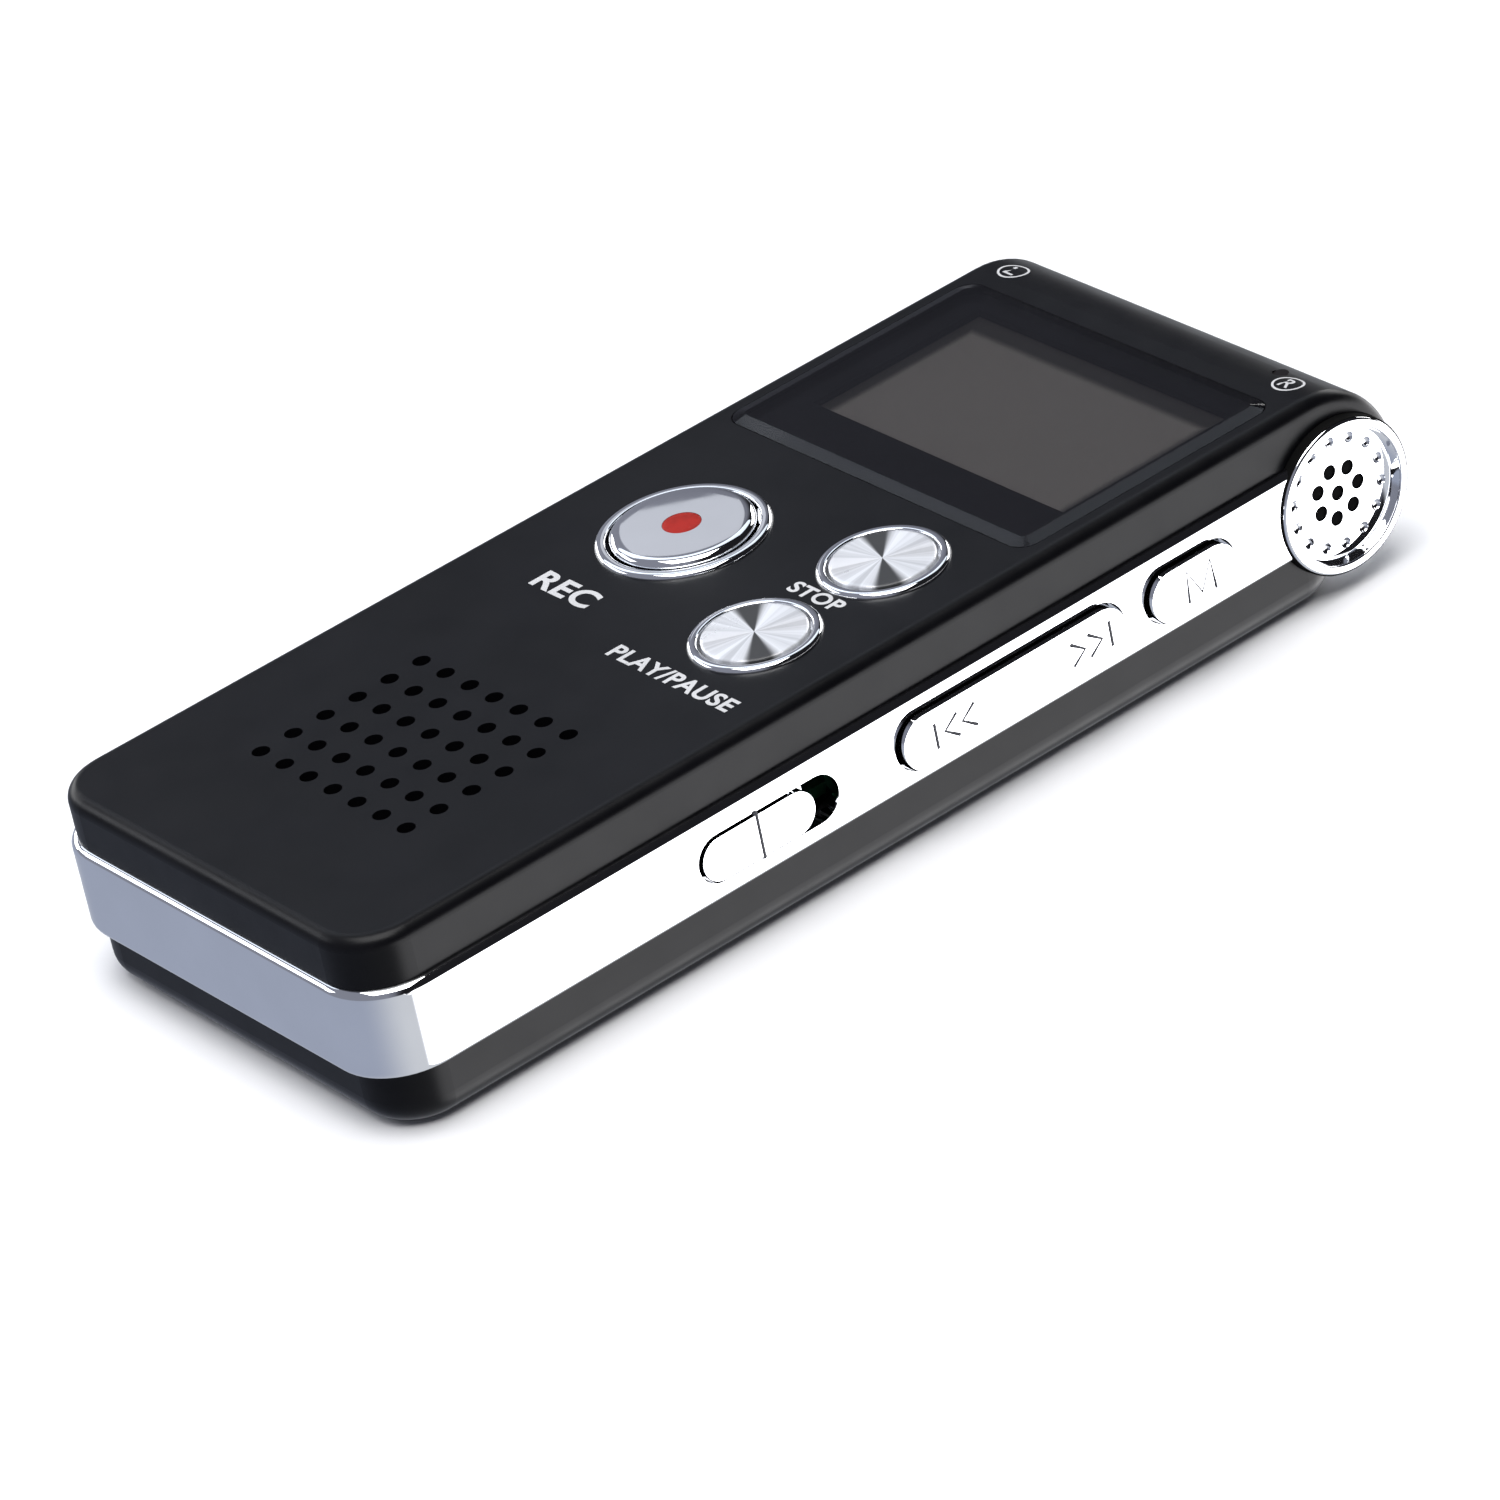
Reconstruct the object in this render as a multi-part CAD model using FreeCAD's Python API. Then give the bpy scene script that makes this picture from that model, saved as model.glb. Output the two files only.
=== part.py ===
import FreeCAD
import Part
import math
import os

# Pocket voice recorder lying on its back, in millimetres.
# +Z is up through the front face, +Y points to the microphone end and +X to the side with the keys.
# Lengths along the body are measured from the speaker end of the chrome band and are called y.
# The finished shapes are moved back by half the length, so the origin is the centre of the footprint.

V = FreeCAD.Vector
X_AXIS, Z_AXIS = V(1, 0, 0), V(0, 0, 1)
TOUCH = 1e-4
PAST = 1.0  # a cutter runs this far past the face it opens

# ---- case ----
BAND_HALF_W = 17.3
BAND_Z = (4.2, 10.55)
BAND_WALL = 1.3
BAND_CORNER = 4.6
BAND_EDGE = 0.6
BAND_FAR = 76.0
COVER_HALF_W = 16.7
COVER_NEAR = 0.45
COVER_CORNER = 4.0
COVER_TOP = 14.05
COVER_EDGE = 0.9
LOWER_HALF_W = 16.8
LOWER_Y = (0.9, 79.0)
LOWER_EDGE = 2.0
LOWER_HOLLOW_END, LOWER_HOLLOW_CORNER = 73.0, 1.5
SHELL = 1.2
SIDE_WALL = 1.3
LCD_BAY_GAP = 0.1
LIP_THICKNESS = 0.75
LIP_GAP = 0.05
LIP_TOP_Z = 9.75
LIP_LOW_Z = 4.6
LIP_FAR = 72.4
LIP_ROOT = 0.8

# ---- hood and microphone barrel, both running across the far end ----
HOOD_Y, HOOD_Z, HOOD_R = 77.35, 7.35, 6.7
LENGTH = HOOD_Y + HOOD_R
MIC_Y, MIC_Z = 78.55, 6.8
CAP_R = 5.3
CAP_X = (15.95, 17.58)
CAP_GAP, CAP_FIT, CAP_SPIGOT_FIT = 0.12, 0.08, 0.05
CAP_RIM_R, CAP_DISH_R = 4.6, 4.35
CAP_FLOOR_X = (16.1, 16.7)
CAP_SPIGOT, CAP_ROLL, CAP_LEAD_IN = 1.4, 0.45, 0.3
BARREL_SLOT_X = (8.0, 11.0)
BARREL_R, BARREL_BORE = 4.6, 4.2
MIC_HOLE_R, MIC_HOLE_CIRCLE, MIC_HOLES = 0.48, 1.69, 7
DIMPLE_R, DIMPLE_CIRCLE, DIMPLES, DIMPLE_DEPTH = 0.35, 3.65, 14, 0.25
CAPSULE_R, CAPSULE_X = 2.95, (13.3, 15.9)
BOOT_R, BOOT_X, BOOT_FIT = 3.7, (12.9, 16.05), 0.05

# ---- speaker grille ----
GRILLE_PITCH = 2.54
GRILLE_COLUMNS, GRILLE_ROWS = 7, 6
GRILLE_Y = 11.17
GRILLE_HOLE_R = 0.6
SPEAKER_Y = GRILLE_Y + GRILLE_PITCH * (GRILLE_ROWS - 1) / 2
SPEAKER_R, MAGNET_R = 10.0, 6.0
SPEAKER_Z = (8.6, 11.4, 12.45)
BASKET_WALL, BASKET_FLOOR = 0.8, 0.4
CONE_CENTRE_R, CONE_DEPTH = 2.2, 0.6
MESH_THICKNESS, MESH_MARGIN, GASKET_WIDTH = 0.15, 1.52, 1.0

# ---- display ----
WINDOW_HALF_W, WINDOW_Y, WINDOW_Z = 15.1, (54.6, 75.9), (13.35, 14.3)
WINDOW_CORNER, WINDOW_BEVEL, WINDOW_GAP = 1.4, 0.24, 0.05
APERTURE_HALF_W, APERTURE_Y = 12.6, (60.0, 74.3)
LCD_HALF_W, LCD_Y, LCD_Z = 14.0, (58.0, 75.0), (11.7, 12.8)
BACKLIGHT_Z, BACKLIGHT_SHORT = 9.9, 0.4
LCD_FRAME_WALL, LCD_FRAME_FLOOR = 0.9, 0.4
LCD_FRAME_OPENING, LCD_FRAME_SHELF = 10.0, 3.0

# ---- keys on the front: x, y, bezel radius, cap radius, height above the cover, drop, slope ----
FRONT_KEYS = {
    "rec": (-5.64, 43.67, 5.8, 4.92, 0.75, 0.32, 0.1),
    "play": (8.55, 38.10, 4.35, 3.55, 0.40, 0.12, 0.05),
    "stop": (8.55, 48.60, 4.35, 3.55, 0.40, 0.12, 0.05),
}
BEZEL_HEIGHT, BEZEL_ROLL = 0.32, 0.13
BEZEL_GAP = 0.10
BEZEL_SPIGOT = 0.32
FLANGE_Z = (12.15, 12.75)
FLANGE_OVER = 0.45
STEM_R, STEM_GAP = 1.2, 0.4
DOT_R = 1.2
DOT_DEPTH = 0.3

# ---- keys on the sides ----
SIDE_Z = 7.17
SIDE_PROUD = 0.55
KEY_GAP, KEY_EDGE = 0.18, 0.35
PLATE_X = (14.9, 15.9)
ROCKER_PLATE_X = (14.8, 15.55)
PLATE_OVER = 0.25
MENU_SLOT = (65.30, 7.8, 4.0)
ROCKER_SLOT = (50.25, 19.1, 4.1)
SLIDE_SLOT = (30.50, 11.2, 3.35)
SLIDE_KNOB = (29.60, 9.2, 3.10)
SLIDE_PROUD = 0.15
SLIDE_PLATE_LENGTH = 12.4
SLIDE_TRAVEL = 1.8
FORK_HALF_W, FORK_REACH, FORK_HALF_H = 1.6, 0.2, 1.0
LEVER_HALF_W, LEVER_HALF_H, LEVER_GAP = 0.8, 0.6, 0.1
GROOVE_DEPTH, GROOVE_HALF_W, GROOVE_HALF_H = 0.15, 0.1, 1.3
SWITCH_HALF_L, SWITCH_BACK, SWITCH_FRONT = 4.2, 1.4, 0.5
PIN_X, PIN_R, PIN_Z = 14.4, 0.5, (4.65, 9.65)
LUG_HEIGHT, LUG_HALF_W, LUG_GAP, LUG_BITE = 0.3, 1.1, 0.25, 0.6
RIB_Z = (5.05, 9.25)
RIB_GAP, RIB_HALF_W = 0.06, 1.0

# ---- board and what stands on it ----
BOARD_HALF_W, BOARD_Y, BOARD_Z = 14.3, (2.6, 71.6), (5.2, 6.0)
BOARD_CORNERS, BOARD_GAP = (1.5, 0.5), 0.1
PIVOT_BAY_X, PIVOT_BAY_HALF = 12.8, 1.6
TACT_SIZE, TACT_TOP, TACT_PLUNGER_TOP, TACT_PLUNGER_R = 4.5, 9.4, 10.6, 1.1
SIDE_TACT_X, SIDE_TACT_TIP = (11.5, 13.9), 14.4
SIDE_TACT_LENGTH, SIDE_TACT_Z = 4.4, (6.0, 8.4)
SIDE_PLUNGER_HALF_W, SIDE_PLUNGER_HALF_H = 0.9, 0.6
ROCKER_ARM = 7.9
BATTERY_HALF_W, BATTERY_Y, BATTERY_Z = 9.6, (30.0, 67.0), (1.4, 4.45)
BATTERY_EDGE = 1.2
JACKS = {"line_jack": 26.5, "earphone_jack": 35.0}
JACK_BORE_R, JACK_NOSE_R, JACK_HALF_W, JACK_GAP = 1.8, 2.5, 3.0, 0.05
JACK_X, JACK_Z, JACK_DEPTH = (3.4, 16.0), (4.7, 9.6), 13.0
USB_Y, USB_HALF_W, USB_X, USB_Z = 12.0, 3.85, (8.0, 17.0), (5.22, 9.12)
USB_WALL, USB_GAP, USB_CUT = 0.35, 0.1, (0.9, 1.6)
TONGUE_HALF_W, TONGUE_SHORT, TONGUE_Z = 2.4, 1.6, (-0.1, 0.9)
WIRE_APART = 1.0
CASE_SCREWS = [(12.4, 5.2), (12.0, 54.0)]
BOSS_R, BOSS_Z = 1.7, 4.4
SCREW_R, SCREW_HEAD_R, SCREW_HEAD_Z, SCREW_END = 0.75, 1.45, (0.5, 1.4), 8.4
SCREW_CLEAR, BOSS_CLEAR, BOSS_STEP = 0.1, 0.15, 0.5
BOARD_SCREW_R, BOARD_SCREW_HEAD_R, BOARD_SCREW_HEAD, POST_FLOOR = 0.6, 1.3, 0.8, 0.6
COUNTERBORE_R = 1.6
BOARD_SCREW_Y = (27.2, 69.4)
POST_R = 1.6
LED_X, LED_Y, LED_R, LED_HALF, LED_HEIGHT = 11.8, 79.4, 0.55, 0.36, 0.6
LENS_SINK, LENS_LIFT, LED_LIFT = 0.05, 0.75, 0.1


# ---- simple shapes ----
def box(x, y, z):
    """Block between two values on each axis."""
    return Part.makeBox(x[1] - x[0], y[1] - y[0], z[1] - z[0], V(x[0], y[0], z[0]))


def rod(radius, start, length, axis):
    """Cylinder from a start point along an axis."""
    return Part.makeCylinder(radius, length, V(*start), axis)


def tube(outer, inner, start, length, axis):
    """Hollow cylinder."""
    return rod(outer, start, length, axis).cut(rod(inner, start, length, axis))


def plate(half_w, y, z, corners):
    """Upright prism with a rounded plan outline; corners holds the near and the far radius."""
    near, far = corners
    block = box((-half_w, half_w), y, z)
    for radius, end in ((near, y[0]), (far, y[1])):
        if radius:
            edges = [e for e in block.Edges if is_upright(e) and abs(e.Vertexes[0].Y - end) < TOUCH]
            block = block.makeFillet(radius, edges)
    return block


def is_upright(edge):
    """True for a straight edge along Z."""
    ends = edge.Vertexes
    return len(ends) == 2 and ends[0].Point.sub(ends[1].Point).cross(Z_AXIS).Length < TOUCH


def stadium(x, y, length, height, z=SIDE_Z):
    """Round-ended bar running along Y and standing out along X."""
    radius = height / 2
    reach = length / 2 - radius
    shape = box(x, (y - reach, y + reach), (z - radius, z + radius))
    for end in (y - reach, y + reach):
        shape = shape.fuse(rod(radius, (x[0], end, z), x[1] - x[0], X_AXIS))
    return shape.removeSplitter()


def turned(profile, centre):
    """Solid turned about the upright axis through centre; profile holds radius and height pairs."""
    points = [V(centre[0] + r, centre[1], h) for r, h in profile]
    face = Part.Face(Part.makePolygon(points + points[:1]))
    return face.revolve(V(centre[0], centre[1], 0), Z_AXIS, 360)


def turned_across(profile, side):
    """Solid turned about the barrel axis; profile holds radius and x pairs."""
    points = [V(x, MIC_Y + r, MIC_Z) for r, x in profile]
    face = Part.Face(Part.makePolygon(points + points[:1]))
    shape = face.revolve(V(0, MIC_Y, MIC_Z), X_AXIS, 360)
    return on_side(shape, side)


def on_side(shape, side):
    """The shape itself on the right side, or its mirror image on the left."""
    return shape if side > 0 else shape.mirror(V(0, 0, 0), X_AXIS)


def both_sides(shape):
    """The shape and its mirror image as one shape."""
    return shape.fuse(on_side(shape, -1))


def join(shapes):
    """Fuse a list of overlapping shapes into one clean solid."""
    first, rest = shapes[0], shapes[1:]
    return first.fuse(rest).removeSplitter() if rest else first


def group(shapes):
    """Keep separate solids together in one node."""
    return Part.makeCompound(shapes)


def outer_edges(shape, level):
    """Edges lying wholly at one height."""
    return [e for e in shape.Edges
            if e.BoundBox.ZMax - e.BoundBox.ZMin < TOUCH and abs(e.BoundBox.ZMin - level) < TOUCH]


def screw(x, y, head_z, end_z, head_r, shank_r, up):
    """Pan-head screw with a cross recess; up is +1 when the shank points up."""
    axis = V(0, 0, up)
    height = abs(head_z[1] - head_z[0])
    base = head_z[0] if up > 0 else head_z[1]
    head = rod(head_r, (x, y, base), height, axis)
    shank = rod(shank_r, (x, y, base), abs(end_z - base), axis)
    depth = height * 0.5
    z = (base, base + depth) if up > 0 else (base - depth, base)
    slot, reach = shank_r * 0.22, shank_r * 0.95
    cross = box((x - slot, x + slot), (y - reach, y + reach), z)
    cross = cross.fuse(box((x - reach, x + reach), (y - slot, y + slot), z))
    return head.fuse(shank).cut(cross).removeSplitter()


# ---- case ----
def mic_cylinder(radius, half_length):
    """Cylinder on the barrel axis, centred across the body."""
    return rod(radius, (-half_length, MIC_Y, MIC_Z), 2 * half_length, X_AXIS)


def side_bores():
    """The wide bores in both side walls that the microphone caps sit in."""
    inner = COVER_HALF_W - SIDE_WALL
    bore = rod(CAP_R + CAP_GAP, (inner, MIC_Y, MIC_Z), CAP_X[1], X_AXIS)
    return both_sides(bore)


def cover_block():
    """Outer form of the top cover: a slab that turns down as a quarter round at the microphone end."""
    crown = V(0, HOOD_Y + HOOD_R * math.sqrt(0.5), HOOD_Z + HOOD_R * math.sqrt(0.5))
    low = BAND_Z[1]
    corners = [V(0, HOOD_Y, COVER_TOP), V(0, COVER_NEAR, COVER_TOP), V(0, COVER_NEAR, low),
               V(0, HOOD_Y, low), V(0, HOOD_Y, HOOD_Z), V(0, LENGTH, HOOD_Z)]
    edges = [Part.makeLine(a, b) for a, b in zip(corners, corners[1:])]
    edges.append(Part.Arc(corners[-1], crown, corners[0]).toShape())
    block = Part.Face(Part.Wire(edges)).extrude(V(2 * COVER_HALF_W, 0, 0))
    block.translate(V(-COVER_HALF_W, 0, 0))
    upright = [e for e in block.Edges if is_upright(e) and abs(e.Vertexes[0].Y - COVER_NEAR) < TOUCH]
    block = block.makeFillet(COVER_CORNER, upright)
    rounded = [e for e in block.Edges if on_crown(e)]
    return block.makeFillet(COVER_EDGE, rounded)


def on_crown(edge):
    """True for the edges round the top of the cover and down both sides of the hood."""
    span = edge.BoundBox
    flat = abs(span.ZMin - COVER_TOP) < TOUCH and span.YMin < HOOD_Y - PAST
    hood = span.ZMin > HOOD_Z - TOUCH and span.YMax > LENGTH - TOUCH and span.ZMax > HOOD_Z + PAST
    return flat or hood


def lip(z, far):
    """Wall inside the band that locates a cover."""
    outer = BAND_HALF_W - BAND_WALL - LIP_GAP
    near = BAND_WALL + LIP_GAP
    corner = BAND_CORNER - near
    ring = plate(outer, (near, far + LIP_THICKNESS), z, (corner, 0))
    hollow = plate(outer - LIP_THICKNESS, (near + LIP_THICKNESS, far + PAST), z,
                   (corner - LIP_THICKNESS, 0))
    return ring.cut(hollow).cut(box((-outer, outer), (far, far + PAST), z))


def top_cover():
    """Front half of the case: hollow slab with bosses, openings and the round hood."""
    inner = COVER_HALF_W - SIDE_WALL
    ceiling = COVER_TOP - SHELL
    hollow = plate(inner, (COVER_NEAR + SIDE_WALL, LCD_Y[1] + LCD_FRAME_WALL + LCD_BAY_GAP),
                   (BAND_Z[1] - PAST, ceiling), (COVER_CORNER - SIDE_WALL, 0))
    body = cover_block().cut(hollow).cut(mic_cylinder(BARREL_R, inner)).cut(side_bores())
    body = body.fuse(lip((LIP_TOP_Z, BAND_Z[1]), LIP_FAR))
    for x, y in CASE_SCREWS:
        boss = rod(BOSS_R, (x, y, BOSS_Z), ceiling - BOSS_Z, Z_AXIS)
        pilot = rod(SCREW_R, (x, y, BOSS_Z), SCREW_END - BOSS_Z, Z_AXIS)
        body = body.fuse(both_sides(boss)).cut(both_sides(pilot))
    body = body.cut(lens_pocket())
    openings = [box((-APERTURE_HALF_W, APERTURE_HALF_W), APERTURE_Y, (ceiling - PAST, COVER_TOP))]
    for x, y, _, cap_r, *_ in FRONT_KEYS.values():
        hole = cap_r + BEZEL_GAP + BEZEL_SPIGOT
        openings.append(rod(hole, (x, y, ceiling - PAST), SHELL + 2 * PAST, Z_AXIS))
    openings += [rod(GRILLE_HOLE_R, (x, y, ceiling - PAST), SHELL + 2 * PAST, Z_AXIS)
                 for x, y in grille_centres()]
    openings.append(rod(LED_R, (LED_X, LED_Y, MIC_Z + BARREL_R - PAST), COVER_TOP, Z_AXIS))
    return body.cut(openings).removeSplitter()


def lens_pocket():
    """Pocket in the front face that the display window drops into."""
    y = (WINDOW_Y[0] - WINDOW_GAP, WINDOW_Y[1] + WINDOW_GAP)
    return plate(WINDOW_HALF_W + WINDOW_GAP, y, (WINDOW_Z[0], COVER_TOP + PAST),
                 (WINDOW_CORNER, WINDOW_CORNER))


def grille_centres():
    """Centres of the speaker holes."""
    first = -GRILLE_PITCH * (GRILLE_COLUMNS - 1) / 2
    return [(first + column * GRILLE_PITCH, GRILLE_Y + row * GRILLE_PITCH)
            for row in range(GRILLE_ROWS) for column in range(GRILLE_COLUMNS)]


def chrome_band():
    """Plated band round three sides, with slots, sockets and the lugs that hold the rocker pins."""
    far = BAND_FAR
    block = plate(BAND_HALF_W, (0, far), BAND_Z, (BAND_CORNER, 0))
    rims = [e for level in BAND_Z for e in outer_edges(block, level) if e.BoundBox.YMin < far - PAST]
    block = block.makeFillet(BAND_EDGE, rims)
    inner = BAND_HALF_W - BAND_WALL
    hollow = plate(inner, (BAND_WALL, far + PAST), (BAND_Z[0] - PAST, BAND_Z[1] + PAST),
                   (BAND_CORNER - BAND_WALL, 0))
    band = block.cut(hollow)
    lug_x = (PIN_X - LUG_HALF_W, BAND_HALF_W - LUG_BITE)
    for z in (PIN_Z[0], PIN_Z[1] - LUG_HEIGHT):
        y = (ROCKER_SLOT[0] - LUG_HALF_W, ROCKER_SLOT[0] + LUG_HALF_W)
        band = band.fuse(both_sides(box(lug_x, y, (z, z + LUG_HEIGHT))))
    pin_hole = rod(PIN_R, (PIN_X, ROCKER_SLOT[0], 0), COVER_TOP, Z_AXIS)
    band = band.cut(both_sides(pin_hole))
    wall = (inner - LUG_BITE, BAND_HALF_W + PAST)
    for y, length, height in (MENU_SLOT, SLIDE_SLOT):
        band = band.cut(stadium(wall, y, length, height))
    band = band.cut(both_sides(stadium(wall, *ROCKER_SLOT)))
    bore = rod(CAP_R + CAP_FIT, (inner - PAST, MIC_Y, MIC_Z), CAP_X[1], X_AXIS)
    band = band.cut(both_sides(bore))
    for y in JACKS.values():
        hole = rod(JACK_NOSE_R + JACK_GAP, (inner - PAST, y, SIDE_Z), BAND_WALL + 2 * PAST, X_AXIS)
        band = band.cut(on_side(hole, -1))
    port = plug_shape((inner - PAST, BAND_HALF_W + PAST), USB_HALF_W + USB_GAP, USB_GAP)
    return band.cut(on_side(port, -1)).removeSplitter()


def plug_shape(x, half_w, grow):
    """Bar with the outline of a small USB shell: square above, cut corners below."""
    low, high = USB_Z[0] - grow, USB_Z[1] + grow
    cut, rise = USB_CUT
    points = [(-half_w, high), (half_w, high), (half_w, low + rise), (half_w - cut, low),
              (-half_w + cut, low), (-half_w, low + rise)]
    points = [V(x[0], USB_Y + y, z) for y, z in points]
    return Part.Face(Part.makePolygon(points + points[:1])).extrude(V(x[1] - x[0], 0, 0))


def lower_cover():
    """Back half of the case: tray with screw posts."""
    top = BAND_Z[0]
    block = plate(LOWER_HALF_W, LOWER_Y, (0, top), (COVER_CORNER, COVER_CORNER))
    block = block.makeFillet(LOWER_EDGE, outer_edges(block, 0))
    inner = LOWER_HALF_W - SIDE_WALL
    near = LOWER_Y[0] + SIDE_WALL
    hollow = plate(inner, (near, LOWER_HOLLOW_END), (SHELL, top + PAST),
                   (COVER_CORNER - SIDE_WALL, LOWER_HOLLOW_CORNER))
    body = block.cut(hollow).fuse(lip((top, LIP_LOW_Z), LIP_FAR))
    body = body.fuse(lip((top - LIP_ROOT, top), LIP_FAR))
    body = body.cut(mic_cylinder(BARREL_R, COVER_HALF_W - SIDE_WALL)).cut(side_bores())
    for x, y in CASE_SCREWS:
        post = rod(BOSS_R + BOSS_STEP, (x, y, SHELL), BOSS_Z - SHELL, Z_AXIS)
        hole = rod(SCREW_R + SCREW_CLEAR, (x, y, 0), BOSS_Z, Z_AXIS)
        seat = rod(COUNTERBORE_R, (x, y, 0), SCREW_HEAD_Z[1], Z_AXIS)
        body = body.fuse(both_sides(post)).cut(both_sides(hole.fuse(seat)))
    for y in BOARD_SCREW_Y:
        post = rod(POST_R, (0, y, SHELL), BOARD_Z[0] - SHELL, Z_AXIS)
        hole = rod(BOARD_SCREW_R, (0, y, SHELL + POST_FLOOR), BOARD_Z[0], Z_AXIS)
        body = body.fuse(post).cut(hole)
    return body.removeSplitter()


def display_window():
    """Clear sheet flush in the front face, its rim bevelled."""
    window = plate(WINDOW_HALF_W, WINDOW_Y, WINDOW_Z, (WINDOW_CORNER, WINDOW_CORNER))
    return window.makeChamfer(WINDOW_BEVEL, outer_edges(window, WINDOW_Z[1]))


# ---- front keys ----
def bezel(name):
    """Turned ring round a front key, with a spigot into the cover."""
    x, y, outer, cap_r, *_ = FRONT_KEYS[name]
    inner = cap_r + BEZEL_GAP
    top = COVER_TOP + BEZEL_HEIGHT
    low = COVER_TOP - SHELL
    third = (outer - inner) / 3
    profile = [(inner, low), (inner + BEZEL_SPIGOT, low), (inner + BEZEL_SPIGOT, COVER_TOP),
               (outer, COVER_TOP), (outer - third * 0.3, top - BEZEL_ROLL), (outer - third, top),
               (inner + third, top), (inner, top - BEZEL_ROLL)]
    return turned(profile, (x, y))


def front_key(name):
    """Round key: crowned cap, retaining flange and the stem that meets the switch."""
    x, y, _, cap_r, height, drop, fall = FRONT_KEYS[name]
    top = COVER_TOP + height
    flange = cap_r + FLANGE_OVER
    stem_end = TACT_PLUNGER_TOP + STEM_GAP
    slope = fall * cap_r
    profile = [(0, stem_end), (STEM_R, stem_end), (STEM_R, FLANGE_Z[0]), (flange, FLANGE_Z[0]),
               (flange, FLANGE_Z[1]), (cap_r, FLANGE_Z[1]), (cap_r, top - drop),
               (cap_r - slope, top - drop * 0.2), (cap_r - 2 * slope, top), (0, top)]
    key = turned(profile, (x, y))
    if name == "rec":
        key = key.cut(rod(DOT_R, (x, y, top - DOT_DEPTH), PAST, Z_AXIS))
    return key


def rec_dot():
    """Coloured disc inlaid in the record key."""
    x, y, _, _, height, *_ = FRONT_KEYS["rec"]
    return rod(DOT_R, (x, y, COVER_TOP + height - DOT_DEPTH), DOT_DEPTH, Z_AXIS)


# ---- side keys ----
def side_key(slot, proud, plate_x, plate_length, plate_height):
    """Cap through a slot of the band with a wider plate behind the wall."""
    y, length, height = slot
    cap = stadium((plate_x[0], BAND_HALF_W + proud), y, length, height)
    face = BAND_HALF_W + proud
    rim = [e for e in cap.Edges if abs(e.BoundBox.XMin - face) < TOUCH]
    cap = cap.makeFillet(min(KEY_EDGE, proud + 0.1), rim)
    return cap.fuse(stadium(plate_x, y, plate_length, plate_height)).removeSplitter()


def clear_key(slot):
    """Cap size that leaves the running gap all round inside a slot."""
    y, length, height = slot
    return y, length - 2 * KEY_GAP, height - 2 * KEY_GAP


def menu_button():
    """Push key at the display end of the right side."""
    _, length, height = MENU_SLOT
    return side_key(clear_key(MENU_SLOT), SIDE_PROUD, PLATE_X, length + 4 * PLATE_OVER,
                    height + 2 * PLATE_OVER)


def rocker(side):
    """Long key that tips about a pin behind its middle."""
    y, length, height = ROCKER_SLOT
    key = side_key(clear_key(ROCKER_SLOT), SIDE_PROUD, ROCKER_PLATE_X, length + 2 * PLATE_OVER,
                   height + 2 * PLATE_OVER)
    relief = LUG_HALF_W + LUG_GAP
    z_low, z_high = RIB_Z
    for z in ((0, z_low), (z_high, COVER_TOP)):
        key = key.cut(box((0, BAND_HALF_W - BAND_WALL + LUG_HEIGHT), (y - relief, y + relief), z))
    rib = box((PIN_X - RIB_HALF_W, ROCKER_PLATE_X[1]), (y - RIB_HALF_W, y + RIB_HALF_W), RIB_Z)
    key = key.fuse(rib).cut(rod(PIN_R + RIB_GAP, (PIN_X, y, 0), COVER_TOP, Z_AXIS))
    return on_side(key.removeSplitter(), side)


def rocker_pin(side):
    """Steel pin between the two lugs of the band."""
    start = (PIN_X, ROCKER_SLOT[0], PIN_Z[0])
    return on_side(rod(PIN_R, start, PIN_Z[1] - PIN_Z[0], Z_AXIS), side)


def hold_slider():
    """Sliding key with a fork behind it that carries the switch lever."""
    knob = side_key(SLIDE_KNOB, SLIDE_PROUD, PLATE_X, SLIDE_PLATE_LENGTH,
                    SLIDE_SLOT[2] + 4 * PLATE_OVER)
    y = SLIDE_KNOB[0]
    fork = box((SIDE_TACT_X[1] - FORK_REACH, PLATE_X[0] + FORK_REACH),
               (y - FORK_HALF_W, y + FORK_HALF_W), (SIDE_Z - FORK_HALF_H, SIDE_Z + FORK_HALF_H))
    notch = box((0, PLATE_X[0] - LEVER_GAP), (y - LEVER_HALF_W, y + LEVER_HALF_W), (0, COVER_TOP))
    face = BAND_HALF_W + SLIDE_PROUD
    groove = box((face - GROOVE_DEPTH, face + PAST), (y - GROOVE_HALF_W, y + GROOVE_HALF_W),
                 (SIDE_Z - GROOVE_HALF_H, SIDE_Z + GROOVE_HALF_H))
    return knob.fuse(fork).cut(notch).cut(groove).removeSplitter()


def slide_lever():
    """Lever of the slide switch, held in the slider's fork."""
    y = SLIDE_KNOB[0]
    return box((SIDE_TACT_X[0] + LEVER_HALF_W, PLATE_X[0] - 1.5 * LEVER_GAP),
               (y - LEVER_HALF_W, y + LEVER_HALF_W), (SIDE_Z - LEVER_HALF_H, SIDE_Z + LEVER_HALF_H))


def slide_switch():
    """Housing of the slide switch, open towards the slider."""
    y = SLIDE_KNOB[0]
    body = box((SIDE_TACT_X[0] - SWITCH_BACK, SIDE_TACT_X[1] - SWITCH_FRONT),
               (y - SWITCH_HALF_L, y + SWITCH_HALF_L + SLIDE_TRAVEL), SIDE_TACT_Z)
    half_w, half_h = LEVER_HALF_W + LEVER_GAP, LEVER_HALF_H + LEVER_GAP
    window = box((SIDE_TACT_X[0] + SWITCH_BACK - PAST, SIDE_TACT_X[1]),
                 (y - half_w, y + half_w + SLIDE_TRAVEL), (SIDE_Z - half_h, SIDE_Z + half_h))
    return body.cut(window)


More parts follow.
